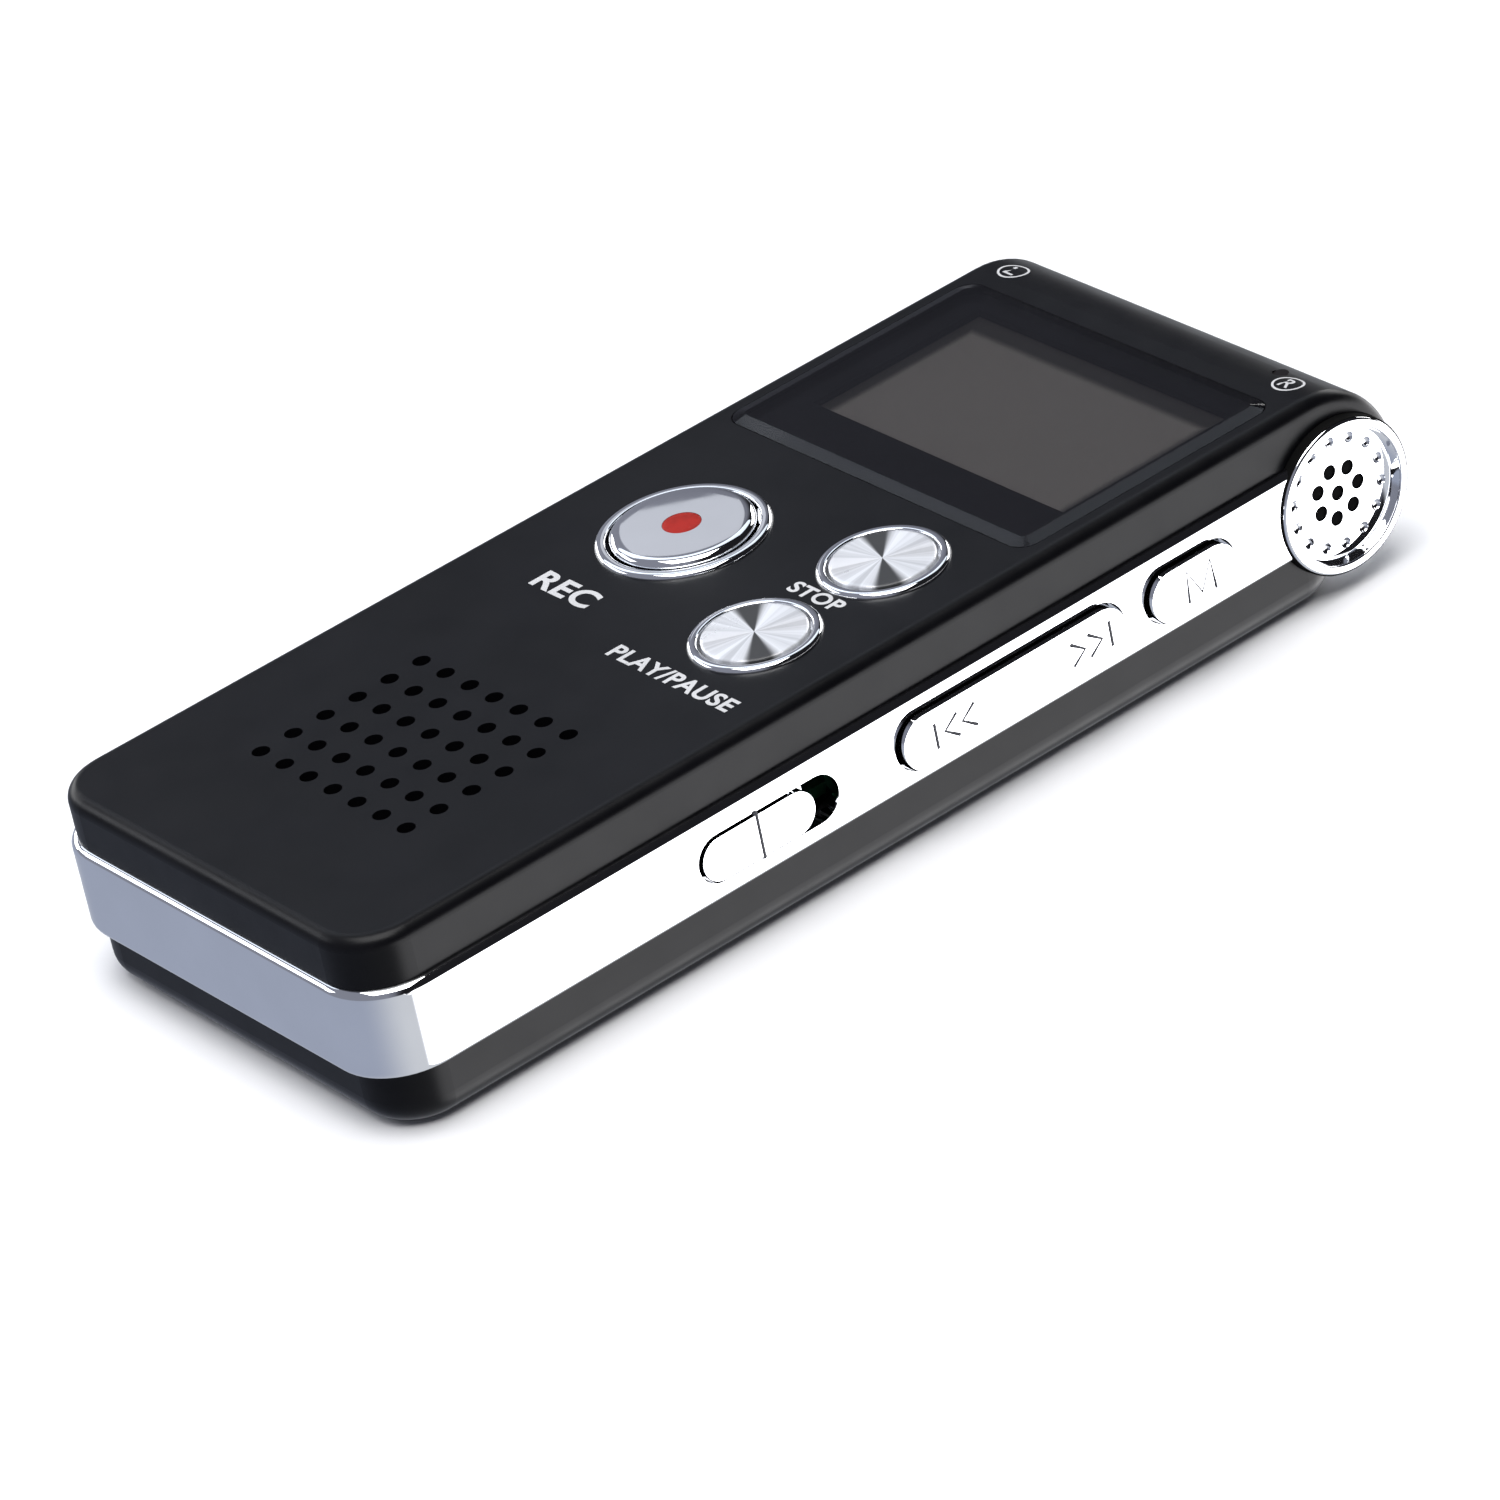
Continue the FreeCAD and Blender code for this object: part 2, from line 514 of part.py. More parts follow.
# ---- microphones ----
def mic_cap(side):
    """Plated end cap: rolled rim, dished floor with sound holes and a spigot into the barrel."""
    rim, rear = CAP_X[1], CAP_X[0]
    floor_in, floor_out = CAP_FLOOR_X
    bore, spigot, foot = BOOT_R + BOOT_FIT, BARREL_BORE - CAP_SPIGOT_FIT, rear - CAP_SPIGOT
    shoulder = CAP_ROLL * (1 - math.sqrt(0.5))
    profile = [(0, floor_in), (bore, floor_in), (bore, foot), (spigot, foot), (spigot, rear),
               (CAP_R, rear), (CAP_R, rim - CAP_ROLL), (CAP_R - shoulder, rim - shoulder),
               (CAP_R - CAP_ROLL, rim), (CAP_RIM_R, rim), (CAP_RIM_R - CAP_LEAD_IN / 2, rim - CAP_LEAD_IN),
               (CAP_DISH_R, floor_out), (0, floor_out)]
    cap = turned_across(profile, side)
    through = floor_out - floor_in + 2 * PAST
    cuts = [mic_hole(MIC_HOLE_R, 0, 0, floor_in - PAST, through)]
    cuts += [mic_hole(MIC_HOLE_R, MIC_HOLE_CIRCLE, k / MIC_HOLES, floor_in - PAST, through)
             for k in range(MIC_HOLES)]
    cuts += [mic_hole(DIMPLE_R, DIMPLE_CIRCLE, (k + 0.5) / DIMPLES, floor_out - DIMPLE_DEPTH, PAST)
             for k in range(DIMPLES)]
    return cap.cut([on_side(c, side) for c in cuts])


def mic_hole(radius, circle, turn, x, depth):
    """Small hole through a cap, placed at a fraction of a full turn from +Y."""
    angle = turn * 2 * math.pi
    start = (x, MIC_Y + circle * math.cos(angle), MIC_Z + circle * math.sin(angle))
    return rod(radius, start, depth, X_AXIS)


def mic_barrel():
    """Tube across the body between the two caps, slotted for the microphone leads."""
    body = mic_cylinder(BARREL_R, CAP_X[0]).cut(mic_cylinder(BARREL_BORE, CAP_X[0]))
    slot = box(BARREL_SLOT_X, (MIC_Y - BARREL_R - PAST, MIC_Y - BARREL_R / 2),
               (MIC_Z - PAST, MIC_Z + PAST))
    return body.cut(both_sides(slot))


def mic_capsule(side):
    """Electret capsule behind a cap."""
    length = CAPSULE_X[1] - CAPSULE_X[0]
    return on_side(rod(CAPSULE_R, (CAPSULE_X[0], MIC_Y, MIC_Z), length, X_AXIS), side)


def mic_boot(side):
    """Rubber ring round a capsule."""
    length = BOOT_X[1] - BOOT_X[0]
    ring = tube(BOOT_R, CAPSULE_R, (BOOT_X[0], MIC_Y, MIC_Z), length, X_AXIS)
    return on_side(ring, side)


# ---- speaker ----
def speaker_mesh():
    """Dust cloth behind the grille."""
    ceiling = COVER_TOP - SHELL
    half = GRILLE_PITCH * (GRILLE_COLUMNS - 1) / 2 + MESH_MARGIN
    deep = GRILLE_PITCH * (GRILLE_ROWS - 1) / 2 + MESH_MARGIN
    return box((-half, half), (SPEAKER_Y - deep, SPEAKER_Y + deep), (ceiling - MESH_THICKNESS, ceiling))


def speaker_gasket():
    """Foam ring between the speaker and the dust cloth."""
    top = COVER_TOP - SHELL - MESH_THICKNESS
    return tube(SPEAKER_R, SPEAKER_R - GASKET_WIDTH, (0, SPEAKER_Y, SPEAKER_Z[2]), top - SPEAKER_Z[2], Z_AXIS)


def speaker_basket():
    """Pressed ring that carries the cone and the magnet."""
    _, mid, top = SPEAKER_Z
    inner, floor = SPEAKER_R - BASKET_WALL, mid + BASKET_FLOOR
    profile = [(MAGNET_R, mid), (SPEAKER_R, mid), (SPEAKER_R, top), (inner, top), (inner, floor),
               (MAGNET_R, floor)]
    return turned(profile, (0, SPEAKER_Y))


def speaker_magnet():
    """Round magnet set in the basket."""
    low, mid, _ = SPEAKER_Z
    return rod(MAGNET_R, (0, SPEAKER_Y, low), mid + BASKET_FLOOR - low, Z_AXIS)


def speaker_cone():
    """Diaphragm: domed centre, shallow trough and rolled edge."""
    _, mid, top = SPEAKER_Z
    low = mid + BASKET_FLOOR + 0.05
    edge = SPEAKER_R - BASKET_WALL - 0.1
    trough = edge - CONE_CENTRE_R * 0.7
    profile = [(0, low + CONE_DEPTH * 0.75), (CONE_CENTRE_R, low + CONE_DEPTH * 0.4), (trough, low + 0.15),
               (edge, low + CONE_DEPTH / 2), (edge, low + CONE_DEPTH / 5), (trough, low),
               (CONE_CENTRE_R, low), (0, low)]
    return turned(profile, (0, SPEAKER_Y))


# ---- display module ----
def lcd_glass():
    """Glass of the display."""
    return box((-LCD_HALF_W, LCD_HALF_W), LCD_Y, LCD_Z)


def lcd_backlight():
    """Light guide under the glass."""
    y = (LCD_Y[0], LCD_Y[1] - BACKLIGHT_SHORT)
    return box((-LCD_HALF_W, LCD_HALF_W), y, (BACKLIGHT_Z + LCD_FRAME_FLOOR, LCD_Z[0]))


def lcd_frame():
    """Tray that holds the glass and the light guide, hollowed for the barrel."""
    wall = LCD_FRAME_WALL
    y = (LCD_Y[0] - wall, LCD_Y[1] + wall)
    outer = box((-LCD_HALF_W - wall, LCD_HALF_W + wall), y, (BACKLIGHT_Z, LCD_Z[1]))
    seat = box((-LCD_HALF_W, LCD_HALF_W), LCD_Y, (BACKLIGHT_Z + LCD_FRAME_FLOOR, LCD_Z[1]))
    window = box((-LCD_FRAME_OPENING, LCD_FRAME_OPENING),
                 (LCD_Y[0] + LCD_FRAME_SHELF, LCD_Y[1] - LCD_FRAME_SHELF), (BACKLIGHT_Z, LCD_Z[1]))
    round_end = mic_cylinder(BARREL_R + LCD_BAY_GAP, LCD_HALF_W + 2 * PAST)
    return outer.cut(seat).cut(window).cut(round_end)


# ---- board and components ----
def circuit_board():
    """Board cleared for the bosses, the rocker pivots and the sockets."""
    board = plate(BOARD_HALF_W, BOARD_Y, BOARD_Z, BOARD_CORNERS)
    cuts = [both_sides(rod(BOSS_R + BOSS_CLEAR, (x, y, 0), COVER_TOP, Z_AXIS)) for x, y in CASE_SCREWS]
    edge = (PIVOT_BAY_X, BOARD_HALF_W + PAST)
    pivot = (ROCKER_SLOT[0] - PIVOT_BAY_HALF, ROCKER_SLOT[0] + PIVOT_BAY_HALF)
    cuts.append(both_sides(box(edge, pivot, BOARD_Z)))
    cuts += [rod(SCREW_R, (0, y, 0), COVER_TOP, Z_AXIS) for y in BOARD_SCREW_Y]
    sockets = [(JACK_X[0], y, JACK_HALF_W) for y in JACKS.values()] + [(USB_X[0], USB_Y, USB_HALF_W)]
    for back, y, half_w in sockets:
        reach = half_w + BOARD_GAP
        bay = box((back - BOARD_GAP, BOARD_HALF_W + PAST), (y - reach, y + reach), BOARD_Z)
        cuts.append(on_side(bay, -1))
    return board.cut(cuts).removeSplitter()


def tact_switch(name):
    """Top-push switch under a front key: housing and plunger."""
    x, y = FRONT_KEYS[name][:2]
    half = TACT_SIZE / 2
    body = box((x - half, x + half), (y - half, y + half), (BOARD_Z[1], TACT_TOP))
    plunger = rod(TACT_PLUNGER_R, (x, y, TACT_TOP), TACT_PLUNGER_TOP - TACT_TOP, Z_AXIS)
    return group([body, plunger])


def side_switch(y, side):
    """Side-push switch behind a side key: housing and plunger."""
    half = SIDE_TACT_LENGTH / 2
    body = box(SIDE_TACT_X, (y - half, y + half), SIDE_TACT_Z)
    plunger = box((SIDE_TACT_X[1], SIDE_TACT_TIP), (y - SIDE_PLUNGER_HALF_W, y + SIDE_PLUNGER_HALF_W),
                  (SIDE_Z - SIDE_PLUNGER_HALF_H, SIDE_Z + SIDE_PLUNGER_HALF_H))
    return on_side(group([body, plunger]), side)


def jack(y):
    """3.5 mm socket: housing on the board and a round nose through the band."""
    body = box(JACK_X, (y - JACK_HALF_W, y + JACK_HALF_W), JACK_Z)
    nose = rod(JACK_NOSE_R, (JACK_X[1] - PAST, y, SIDE_Z), BAND_HALF_W - JACK_X[1] + PAST, X_AXIS)
    bore = rod(JACK_BORE_R, (BAND_HALF_W - JACK_DEPTH, y, SIDE_Z), JACK_DEPTH + PAST, X_AXIS)
    return on_side(body.fuse(nose).cut(bore).removeSplitter(), -1)


def usb_socket():
    """Folded metal shell with a plastic tongue inside."""
    shell = plug_shape(USB_X, USB_HALF_W, 0)
    inside = plug_shape((USB_X[0] + USB_WALL, USB_X[1] + PAST), USB_HALF_W - USB_WALL, -USB_WALL)
    tongue = box((USB_X[0] + USB_WALL, USB_X[1] - TONGUE_SHORT),
                 (USB_Y - TONGUE_HALF_W, USB_Y + TONGUE_HALF_W),
                 (SIDE_Z + TONGUE_Z[0], SIDE_Z + TONGUE_Z[1]))
    return group([on_side(shell.cut(inside), -1), on_side(tongue, -1)])


def chip(x, y, size, height):
    """Square package on top of the board."""
    half = size / 2
    return box((x - half, x + half), (y - half, y + half), (BOARD_Z[1], BOARD_Z[1] + height))


def board_components():
    """Small capacitors and resistors in three rows."""
    top = BOARD_Z[1]
    rows = [(-11.0, 60.0), (-3.0, 53.5), (2.4, 33.0)]
    return group([box((x + 1.8 * k, x + 1.8 * k + 1.0), (y, y + 0.5), (top, top + 0.5))
                  for x, y in rows for k in range(4)])


def battery():
    """Flat cell under the board, its long edges rounded."""
    pack = box((-BATTERY_HALF_W, BATTERY_HALF_W), BATTERY_Y, BATTERY_Z)
    sides = [e for e in pack.Edges if e.BoundBox.YMax - e.BoundBox.YMin > PAST]
    return pack.makeFillet(BATTERY_EDGE, sides)


def lead_pair(points, apart, radius):
    """Two wires side by side, each a row of straight runs with round joints."""
    wires = []
    for offset in (V(0, 0, 0), V(*apart)):
        stops = [V(*p).add(offset) for p in points]
        runs = [Part.makeCylinder(radius, b.sub(a).Length, a, b.sub(a)) for a, b in zip(stops, stops[1:])]
        joints = [Part.makeSphere(radius, p) for p in stops[1:-1]]
        wires.append(join(runs + joints))
    return wires


def battery_leads():
    """From the cell's near end round to the underside of the board."""
    z = (BATTERY_Z[0] + BATTERY_Z[1]) / 2
    route = [(3, BATTERY_Y[0], z), (3, 24.6, z), (6, 22.4, BOARD_Z[0] - 0.3)]
    return group(lead_pair(route, (WIRE_APART, 0, 0), 0.28))


def speaker_leads():
    """From the magnet's rim down to the top of the board."""
    route = [(2, SPEAKER_Y - MAGNET_R + 0.2, SPEAKER_Z[0] - 0.3), (2, 9.6, SPEAKER_Z[0] - 0.3),
             (2, 8.0, BOARD_Z[1] + 0.3)]
    return group(lead_pair(route, (WIRE_APART, 0, 0), 0.25))


def mic_leads():
    """From each capsule's back through the slot of the barrel to the end of the board."""
    route = [(CAPSULE_X[0], MIC_Y, MIC_Z), (CAPSULE_X[0] - 1.5, MIC_Y, MIC_Z),
             (9.5, MIC_Y - 1, MIC_Z), (9.2, LIP_FAR, MIC_Z),
             (9.2, BOARD_Y[1] - PAST, BOARD_Z[1] + 0.3)]
    right = lead_pair(route, (0, 0, 0.6), 0.22)
    return group(right + [on_side(w, -1) for w in right])


def led_lens():
    """Short plug flush with the curved front of the hood."""
    reach = LED_Y - HOOD_Y
    top = HOOD_Z + math.sqrt(HOOD_R ** 2 - reach ** 2)
    low = MIC_Z + BARREL_R + LENS_LIFT
    return rod(LED_R, (LED_X, LED_Y, low), top - low - LENS_SINK, Z_AXIS)


def status_led():
    """Lamp under the lens."""
    low = MIC_Z + BARREL_R + LED_LIFT
    x, y = (LED_X - LED_HALF, LED_X + LED_HALF), (LED_Y - LED_HALF, LED_Y + LED_HALF)
    return box(x, y, (low, low + LED_HEIGHT))


def case_screws():
    """Four screws that pull the covers together."""
    screws = [screw(side * x, y, SCREW_HEAD_Z, SCREW_END, SCREW_HEAD_R, SCREW_R, 1)
              for x, y in CASE_SCREWS for side in (1, -1)]
    return group(screws)


def board_screws():
    """Two screws that hold the board on the posts of the lower cover."""
    head = (BOARD_Z[1], BOARD_Z[1] + BOARD_SCREW_HEAD)
    return group([screw(0, y, head, SHELL + PAST, BOARD_SCREW_HEAD_R, BOARD_SCREW_R, -1)
                  for y in BOARD_SCREW_Y])


PARTS = {
    "top_cover": top_cover(),
    "lower_cover": lower_cover(),
    "chrome_band": chrome_band(),
    "display_window": display_window(),
    "rec_bezel": bezel("rec"),
    "play_bezel": bezel("play"),
    "stop_bezel": bezel("stop"),
    "rec_button": front_key("rec"),
    "rec_dot": rec_dot(),
    "play_button": front_key("play"),
    "stop_button": front_key("stop"),
    "menu_button": menu_button(),
    "skip_rocker": rocker(1),
    "volume_rocker": rocker(-1),
    "skip_rocker_pin": rocker_pin(1),
    "volume_rocker_pin": rocker_pin(-1),
    "hold_slider": hold_slider(),
    "slide_lever": slide_lever(),
    "slide_switch": slide_switch(),
    "mic_barrel": mic_barrel(),
    "mic_cap_right": mic_cap(1),
    "mic_cap_left": mic_cap(-1),
    "mic_capsule_right": mic_capsule(1),
    "mic_capsule_left": mic_capsule(-1),
    "mic_boot_right": mic_boot(1),
    "mic_boot_left": mic_boot(-1),
    "led_lens": led_lens(),
    "status_led": status_led(),
    "speaker_mesh": speaker_mesh(),
    "speaker_gasket": speaker_gasket(),
    "speaker_basket": speaker_basket(),
    "speaker_magnet": speaker_magnet(),
    "speaker_cone": speaker_cone(),
    "lcd_glass": lcd_glass(),
    "lcd_backlight": lcd_backlight(),
    "lcd_frame": lcd_frame(),
    "circuit_board": circuit_board(),
    "rec_switch": tact_switch("rec"),
    "play_switch": tact_switch("play"),
    "stop_switch": tact_switch("stop"),
    "menu_switch": side_switch(MENU_SLOT[0], 1),
    "skip_back_switch": side_switch(ROCKER_SLOT[0] - ROCKER_ARM, 1),
    "skip_forward_switch": side_switch(ROCKER_SLOT[0] + ROCKER_ARM, 1),
    "volume_down_switch": side_switch(ROCKER_SLOT[0] - ROCKER_ARM, -1),
    "volume_up_switch": side_switch(ROCKER_SLOT[0] + ROCKER_ARM, -1),
    "usb_socket": usb_socket(),
    "processor_chip": chip(0, 61.5, 9.0, 1.2),
    "memory_chip": chip(-6.5, 51.0, 6.0, 0.9),
    "audio_chip": chip(2.5, 23.5, 4.0, 0.8),
    "clock_crystal": chip(8.6, 65.6, 2.5, 0.8),
    "board_components": board_components(),
    "battery": battery(),
    "battery_leads": battery_leads(),
    "speaker_leads": speaker_leads(),
    "mic_leads": mic_leads(),
    "case_screws": case_screws(),
    "board_screws": board_screws(),
}
PARTS.update({name: jack(y) for name, y in JACKS.items()})

os.makedirs("parts", exist_ok=True)
for node, shape in PARTS.items():
    placed = shape.copy()
    placed.translate(V(0, -LENGTH / 2, 0))
    placed.exportStep("parts/" + node + ".step")
    print(node, placed.isValid(), len(placed.Solids), round(placed.Volume, 2))
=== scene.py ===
"""Looks of a pocket voice recorder: pieces, finishes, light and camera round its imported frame."""

import logging
import math
from collections.abc import Callable, Sequence
from dataclasses import dataclass, field, replace
from enum import Enum
from functools import lru_cache
from typing import Any

import bmesh
import bpy
from mathutils import Matrix, Quaternion, Vector


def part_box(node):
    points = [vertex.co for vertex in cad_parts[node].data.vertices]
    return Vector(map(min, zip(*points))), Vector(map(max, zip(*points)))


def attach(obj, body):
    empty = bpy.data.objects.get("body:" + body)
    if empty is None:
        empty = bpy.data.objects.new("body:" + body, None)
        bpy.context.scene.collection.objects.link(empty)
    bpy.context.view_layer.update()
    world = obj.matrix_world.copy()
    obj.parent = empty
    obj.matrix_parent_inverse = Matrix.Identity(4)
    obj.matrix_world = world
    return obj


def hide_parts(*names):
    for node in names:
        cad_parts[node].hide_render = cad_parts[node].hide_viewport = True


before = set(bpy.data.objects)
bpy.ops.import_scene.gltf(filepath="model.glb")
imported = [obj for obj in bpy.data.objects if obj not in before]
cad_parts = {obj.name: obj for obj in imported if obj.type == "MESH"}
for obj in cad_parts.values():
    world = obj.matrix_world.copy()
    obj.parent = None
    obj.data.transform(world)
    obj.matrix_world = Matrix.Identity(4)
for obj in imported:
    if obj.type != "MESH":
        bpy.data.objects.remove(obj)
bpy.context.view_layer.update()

LOG = logging.getLogger("recorder")
MM = 0.001
TOUCH = 0.002 * MM
MIRROR = Matrix.Diagonal((-1, 1, 1, 1))
WHOLE = (0, 1)
FINE, PLAIN, COARSE = 128, 64, 32

Point = tuple[float, float, float]
Colour = tuple[float, float, float]
Ring = tuple[float, float]
Span = tuple[float, float]
Stroke = tuple[tuple[float, float], ...]


class Axis(Enum):
    """Directions a turned or long piece can lie along."""

    ACROSS = Vector((1, 0, 0))
    UP = Vector((0, 0, 1))


class Pick(Enum):
    """What an edit-mode selection is made of."""

    FACES = "FACE"
    EDGES = "EDGE"


class Pattern(Enum):
    """Extra figure that a finish can carry."""

    PLAIN = "plain"
    WEAVE = "weave"
    TRACES = "traces"
    FOIL = "foil"


class Mark(Enum):
    """Strokes of the signs on the side keys, in units of the sign's height, centred on it."""

    MENU = (((-0.52, -0.5), (-0.45, 0.5), (0.0, -0.38), (0.45, 0.5), (0.52, -0.5)),)
    FORWARD = (
        ((-0.95, 0.45), (-0.35, 0.0), (-0.95, -0.45)),
        ((-0.15, 0.45), (0.45, 0.0), (-0.15, -0.45)),
        ((0.85, 0.5), (0.85, -0.5)),
    )
    BACK = tuple(tuple((-along, up) for along, up in stroke) for stroke in FORWARD)
    LINE = (((0.0, 0.5), (0.0, -0.5)),)
    MINUS = (((-0.5, 0.0), (0.5, 0.0)),)
    PLUS = (((-0.5, 0.0), (0.5, 0.0)), ((0.0, 0.5), (0.0, -0.5)))


# ---- finishes ----
class Wires:
    """Node tree that is wired a step at a time."""

    def __init__(self, tree: bpy.types.NodeTree) -> None:
        """Take the tree to wire."""
        self.tree = tree

    def feed(self, socket: bpy.types.NodeSocket, value: Any) -> None:
        """Link a socket to another, or set its value.

        Args:
            socket: the input to feed.
            value: an output socket, a number, a vector or a colour.
        """
        if isinstance(value, bpy.types.NodeSocket):
            self.tree.links.new(value, socket)
        else:
            socket.default_value = value

    def node(self, kind: str, inputs: dict[Any, Any], **settings: Any) -> bpy.types.Node:
        """Add a node.

        Args:
            kind: Blender's name for the node type.
            inputs: value or link for each input, by name or number.
            settings: properties of the node.

        Returns:
            The new node.
        """
        made = self.tree.nodes.new(kind)
        for key, value in settings.items():
            setattr(made, key, value)
        for key, value in inputs.items():
            self.feed(made.inputs[key], value)
        return made

    def spread(self, value: Any, before: Span, after: Span,
               smooth: bool = False) -> bpy.types.NodeSocket:
        """Carry a value from one range to another.

        Args:
            value: the input.
            before: its range.
            after: the range it is carried to.
            smooth: ease in and out at both ends.

        Returns:
            The value output.
        """
        inputs = {"Value": value, "From Min": before[0], "From Max": before[1],
                  "To Min": after[0], "To Max": after[1]}
        kind = "SMOOTHSTEP" if smooth else "LINEAR"
        return self.node("ShaderNodeMapRange", inputs, interpolation_type=kind).outputs[0]

    def math(self, operation: str, first: Any, second: Any = 0.0) -> bpy.types.NodeSocket:
        """Result of one arithmetic step.

        Args:
            operation: Blender's name for it.
            first: first operand.
            second: second operand.

        Returns:
            The value output.
        """
        return self.node("ShaderNodeMath", {0: first, 1: second}, operation=operation).outputs[0]

    def mix(self, share: Any, first: Any, second: Any) -> bpy.types.NodeSocket:
        """Blend of two colours.

        Args:
            share: how much of the second.
            first: colour at share 0.
            second: colour at share 1.

        Returns:
            The colour output.
        """
        inputs = {0: share, 6: first, 7: second}
        return self.node("ShaderNodeMix", inputs, data_type="RGBA").outputs[2]


class Graph(Wires):
    """Node tree of one material."""

    def __init__(self, name: str) -> None:
        """Start a tree that holds a shader, an output and object coordinates.

        Args:
            name: name of the material.
        """
        self.material = bpy.data.materials.new(name)
        self.material.use_nodes = True
        super().__init__(self.material.node_tree)
        self.tree.nodes.clear()
        self.shader = self.tree.nodes.new("ShaderNodeBsdfPrincipled")
        output = self.tree.nodes.new("ShaderNodeOutputMaterial")
        self.tree.links.new(self.shader.outputs["BSDF"], output.inputs["Surface"])
        self.space = self.tree.nodes.new("ShaderNodeTexCoord").outputs["Object"]

    def set(self, **values: Any) -> None:
        """Feed the shader's inputs; an underscore in a name stands for a space."""
        for key, value in values.items():
            self.feed(self.shader.inputs[key.replace("_", " ")], value)

    def placed(self, centre: Point = (0, 0, 0), scale: Point = (1, 1, 1)) -> bpy.types.NodeSocket:
        """Object coordinates measured from a centre and scaled.

        Args:
            centre: origin of the pattern, in metres.
            scale: factor on each axis.

        Returns:
            The vector output.
        """
        shift = tuple(-c * s for c, s in zip(centre, scale))
        return self.node("ShaderNodeMapping", {"Vector": self.space, "Location": shift,
                                               "Scale": scale}).outputs[0]

    def noise(self, size: float, detail: float = 2.0) -> bpy.types.NodeSocket:
        """Cloudy value between about 0.3 and 0.7.

        Args:
            size: width of one cloud, in metres.
            detail: number of finer layers.

        Returns:
            The factor output.
        """
        inputs = {"Vector": self.placed(), "Scale": 1 / size, "Detail": detail}
        return self.node("ShaderNodeTexNoise", inputs).outputs["Fac"]

    def bump(self, height: bpy.types.NodeSocket, depth: float,
             under: Any = None) -> bpy.types.NodeSocket:
        """Normal raised by a height.

        Args:
            height: value from 0 to 1.
            depth: real height at value 1, in metres.
            under: normal of the layer below, if there is one.

        Returns:
            The normal output.
        """
        inputs = {"Height": height, "Distance": depth}
        if under is not None:
            inputs["Normal"] = under
        return self.node("ShaderNodeBump", inputs).outputs[0]


def opaque(colour: Colour, factor: float = 1.0) -> tuple[float, float, float, float]:
    """Colour with full alpha, made lighter or darker by a factor."""
    return (*(c * factor for c in colour), 1.0)


# where noise and figures start and end, and how strong a figure is
CLOUDS, PATCHES, TRACE_EDGES = (0.35, 0.65), (0.3, 0.7), (0.30, 0.36)
FIGURE_SHADE, FIGURE_RELIEF, WAVE_SCALE = 0.55, 0.15, 0.3


@dataclass(frozen=True)
class Finish:
    """Moulded, plated or printed surface with cloudy tint, patchy gloss, grain and ripple."""

    name: str
    colour: Colour
    roughness: float
    metallic: float = 0.0
    specular: float = 0.5
    coat: float = 0.0
    tint_shift: float = 0.12
    tint_size: float = 6 * MM
    gloss_shift: float = 0.15
    gloss_size: float = 2.5 * MM
    grain_size: float = 0.12 * MM
    grain_depth: float = 0.0015 * MM
    ripple_size: float = 5 * MM
    ripple_depth: float = 0.0
    pattern: Pattern = Pattern.PLAIN
    pattern_size: float = 0.3 * MM

    @lru_cache(maxsize=None)
    def material(self) -> bpy.types.Material:
        """The finish as a material, built once."""
        graph = Graph(self.name)
        self.wire(graph)
        return graph.material

    def wire(self, graph: Graph) -> None:
        """Connect the tree.

        Args:
            graph: the tree to fill.
        """
        clouds = graph.noise(self.tint_size, 4.0)
        dark = opaque(self.colour, 1 - self.tint_shift)
        light = opaque(self.colour, 1 + self.tint_shift)
        tint = graph.mix(graph.spread(clouds, CLOUDS, WHOLE), dark, light)
        patches = graph.noise(self.gloss_size, 5.0)
        span = (self.roughness * (1 - self.gloss_shift), self.roughness * (1 + self.gloss_shift))
        gloss = graph.spread(patches, PATCHES, span)
        normal = graph.bump(graph.noise(self.grain_size, 2.0), self.grain_depth)
        if self.ripple_depth:
            normal = graph.bump(graph.noise(self.ripple_size, 1.0), self.ripple_depth, normal)
        if self.pattern is not Pattern.PLAIN:
            figure = self.figure(graph)
            tint = graph.mix(figure, graph.mix(FIGURE_SHADE, tint, opaque((0, 0, 0))), tint)
            normal = graph.bump(figure, self.pattern_size * FIGURE_RELIEF, normal)
        graph.set(Base_Color=tint, Roughness=gloss, Metallic=self.metallic, Normal=normal,
                  Specular_IOR_Level=self.specular, Coat_Weight=self.coat)

    def figure(self, graph: Graph) -> bpy.types.NodeSocket:
        """Value from 0 to 1 of the pattern.

        Args:
            graph: the tree it is wired in.

        Returns:
            The value output.
        """
        if self.pattern is Pattern.WEAVE:
            inputs = {"Vector": graph.placed(), "Scale": WAVE_SCALE / self.pattern_size}
            waves = [graph.node("ShaderNodeTexWave", inputs, bands_direction=way).outputs["Fac"]
                     for way in ("X", "Y")]
            return graph.math("MULTIPLY", *waves)
        inputs = {"Vector": graph.placed(), "Scale": 1 / self.pattern_size}
        if self.pattern is Pattern.TRACES:
            cells = graph.node("ShaderNodeTexVoronoi", inputs, distance="MANHATTAN")
            return graph.spread(cells.outputs["Distance"], TRACE_EDGES, WHOLE)
        folds = graph.node("ShaderNodeTexNoise", {**inputs, "Detail": 3.0},
                           noise_type="RIDGED_MULTIFRACTAL")
        return folds.outputs["Fac"]


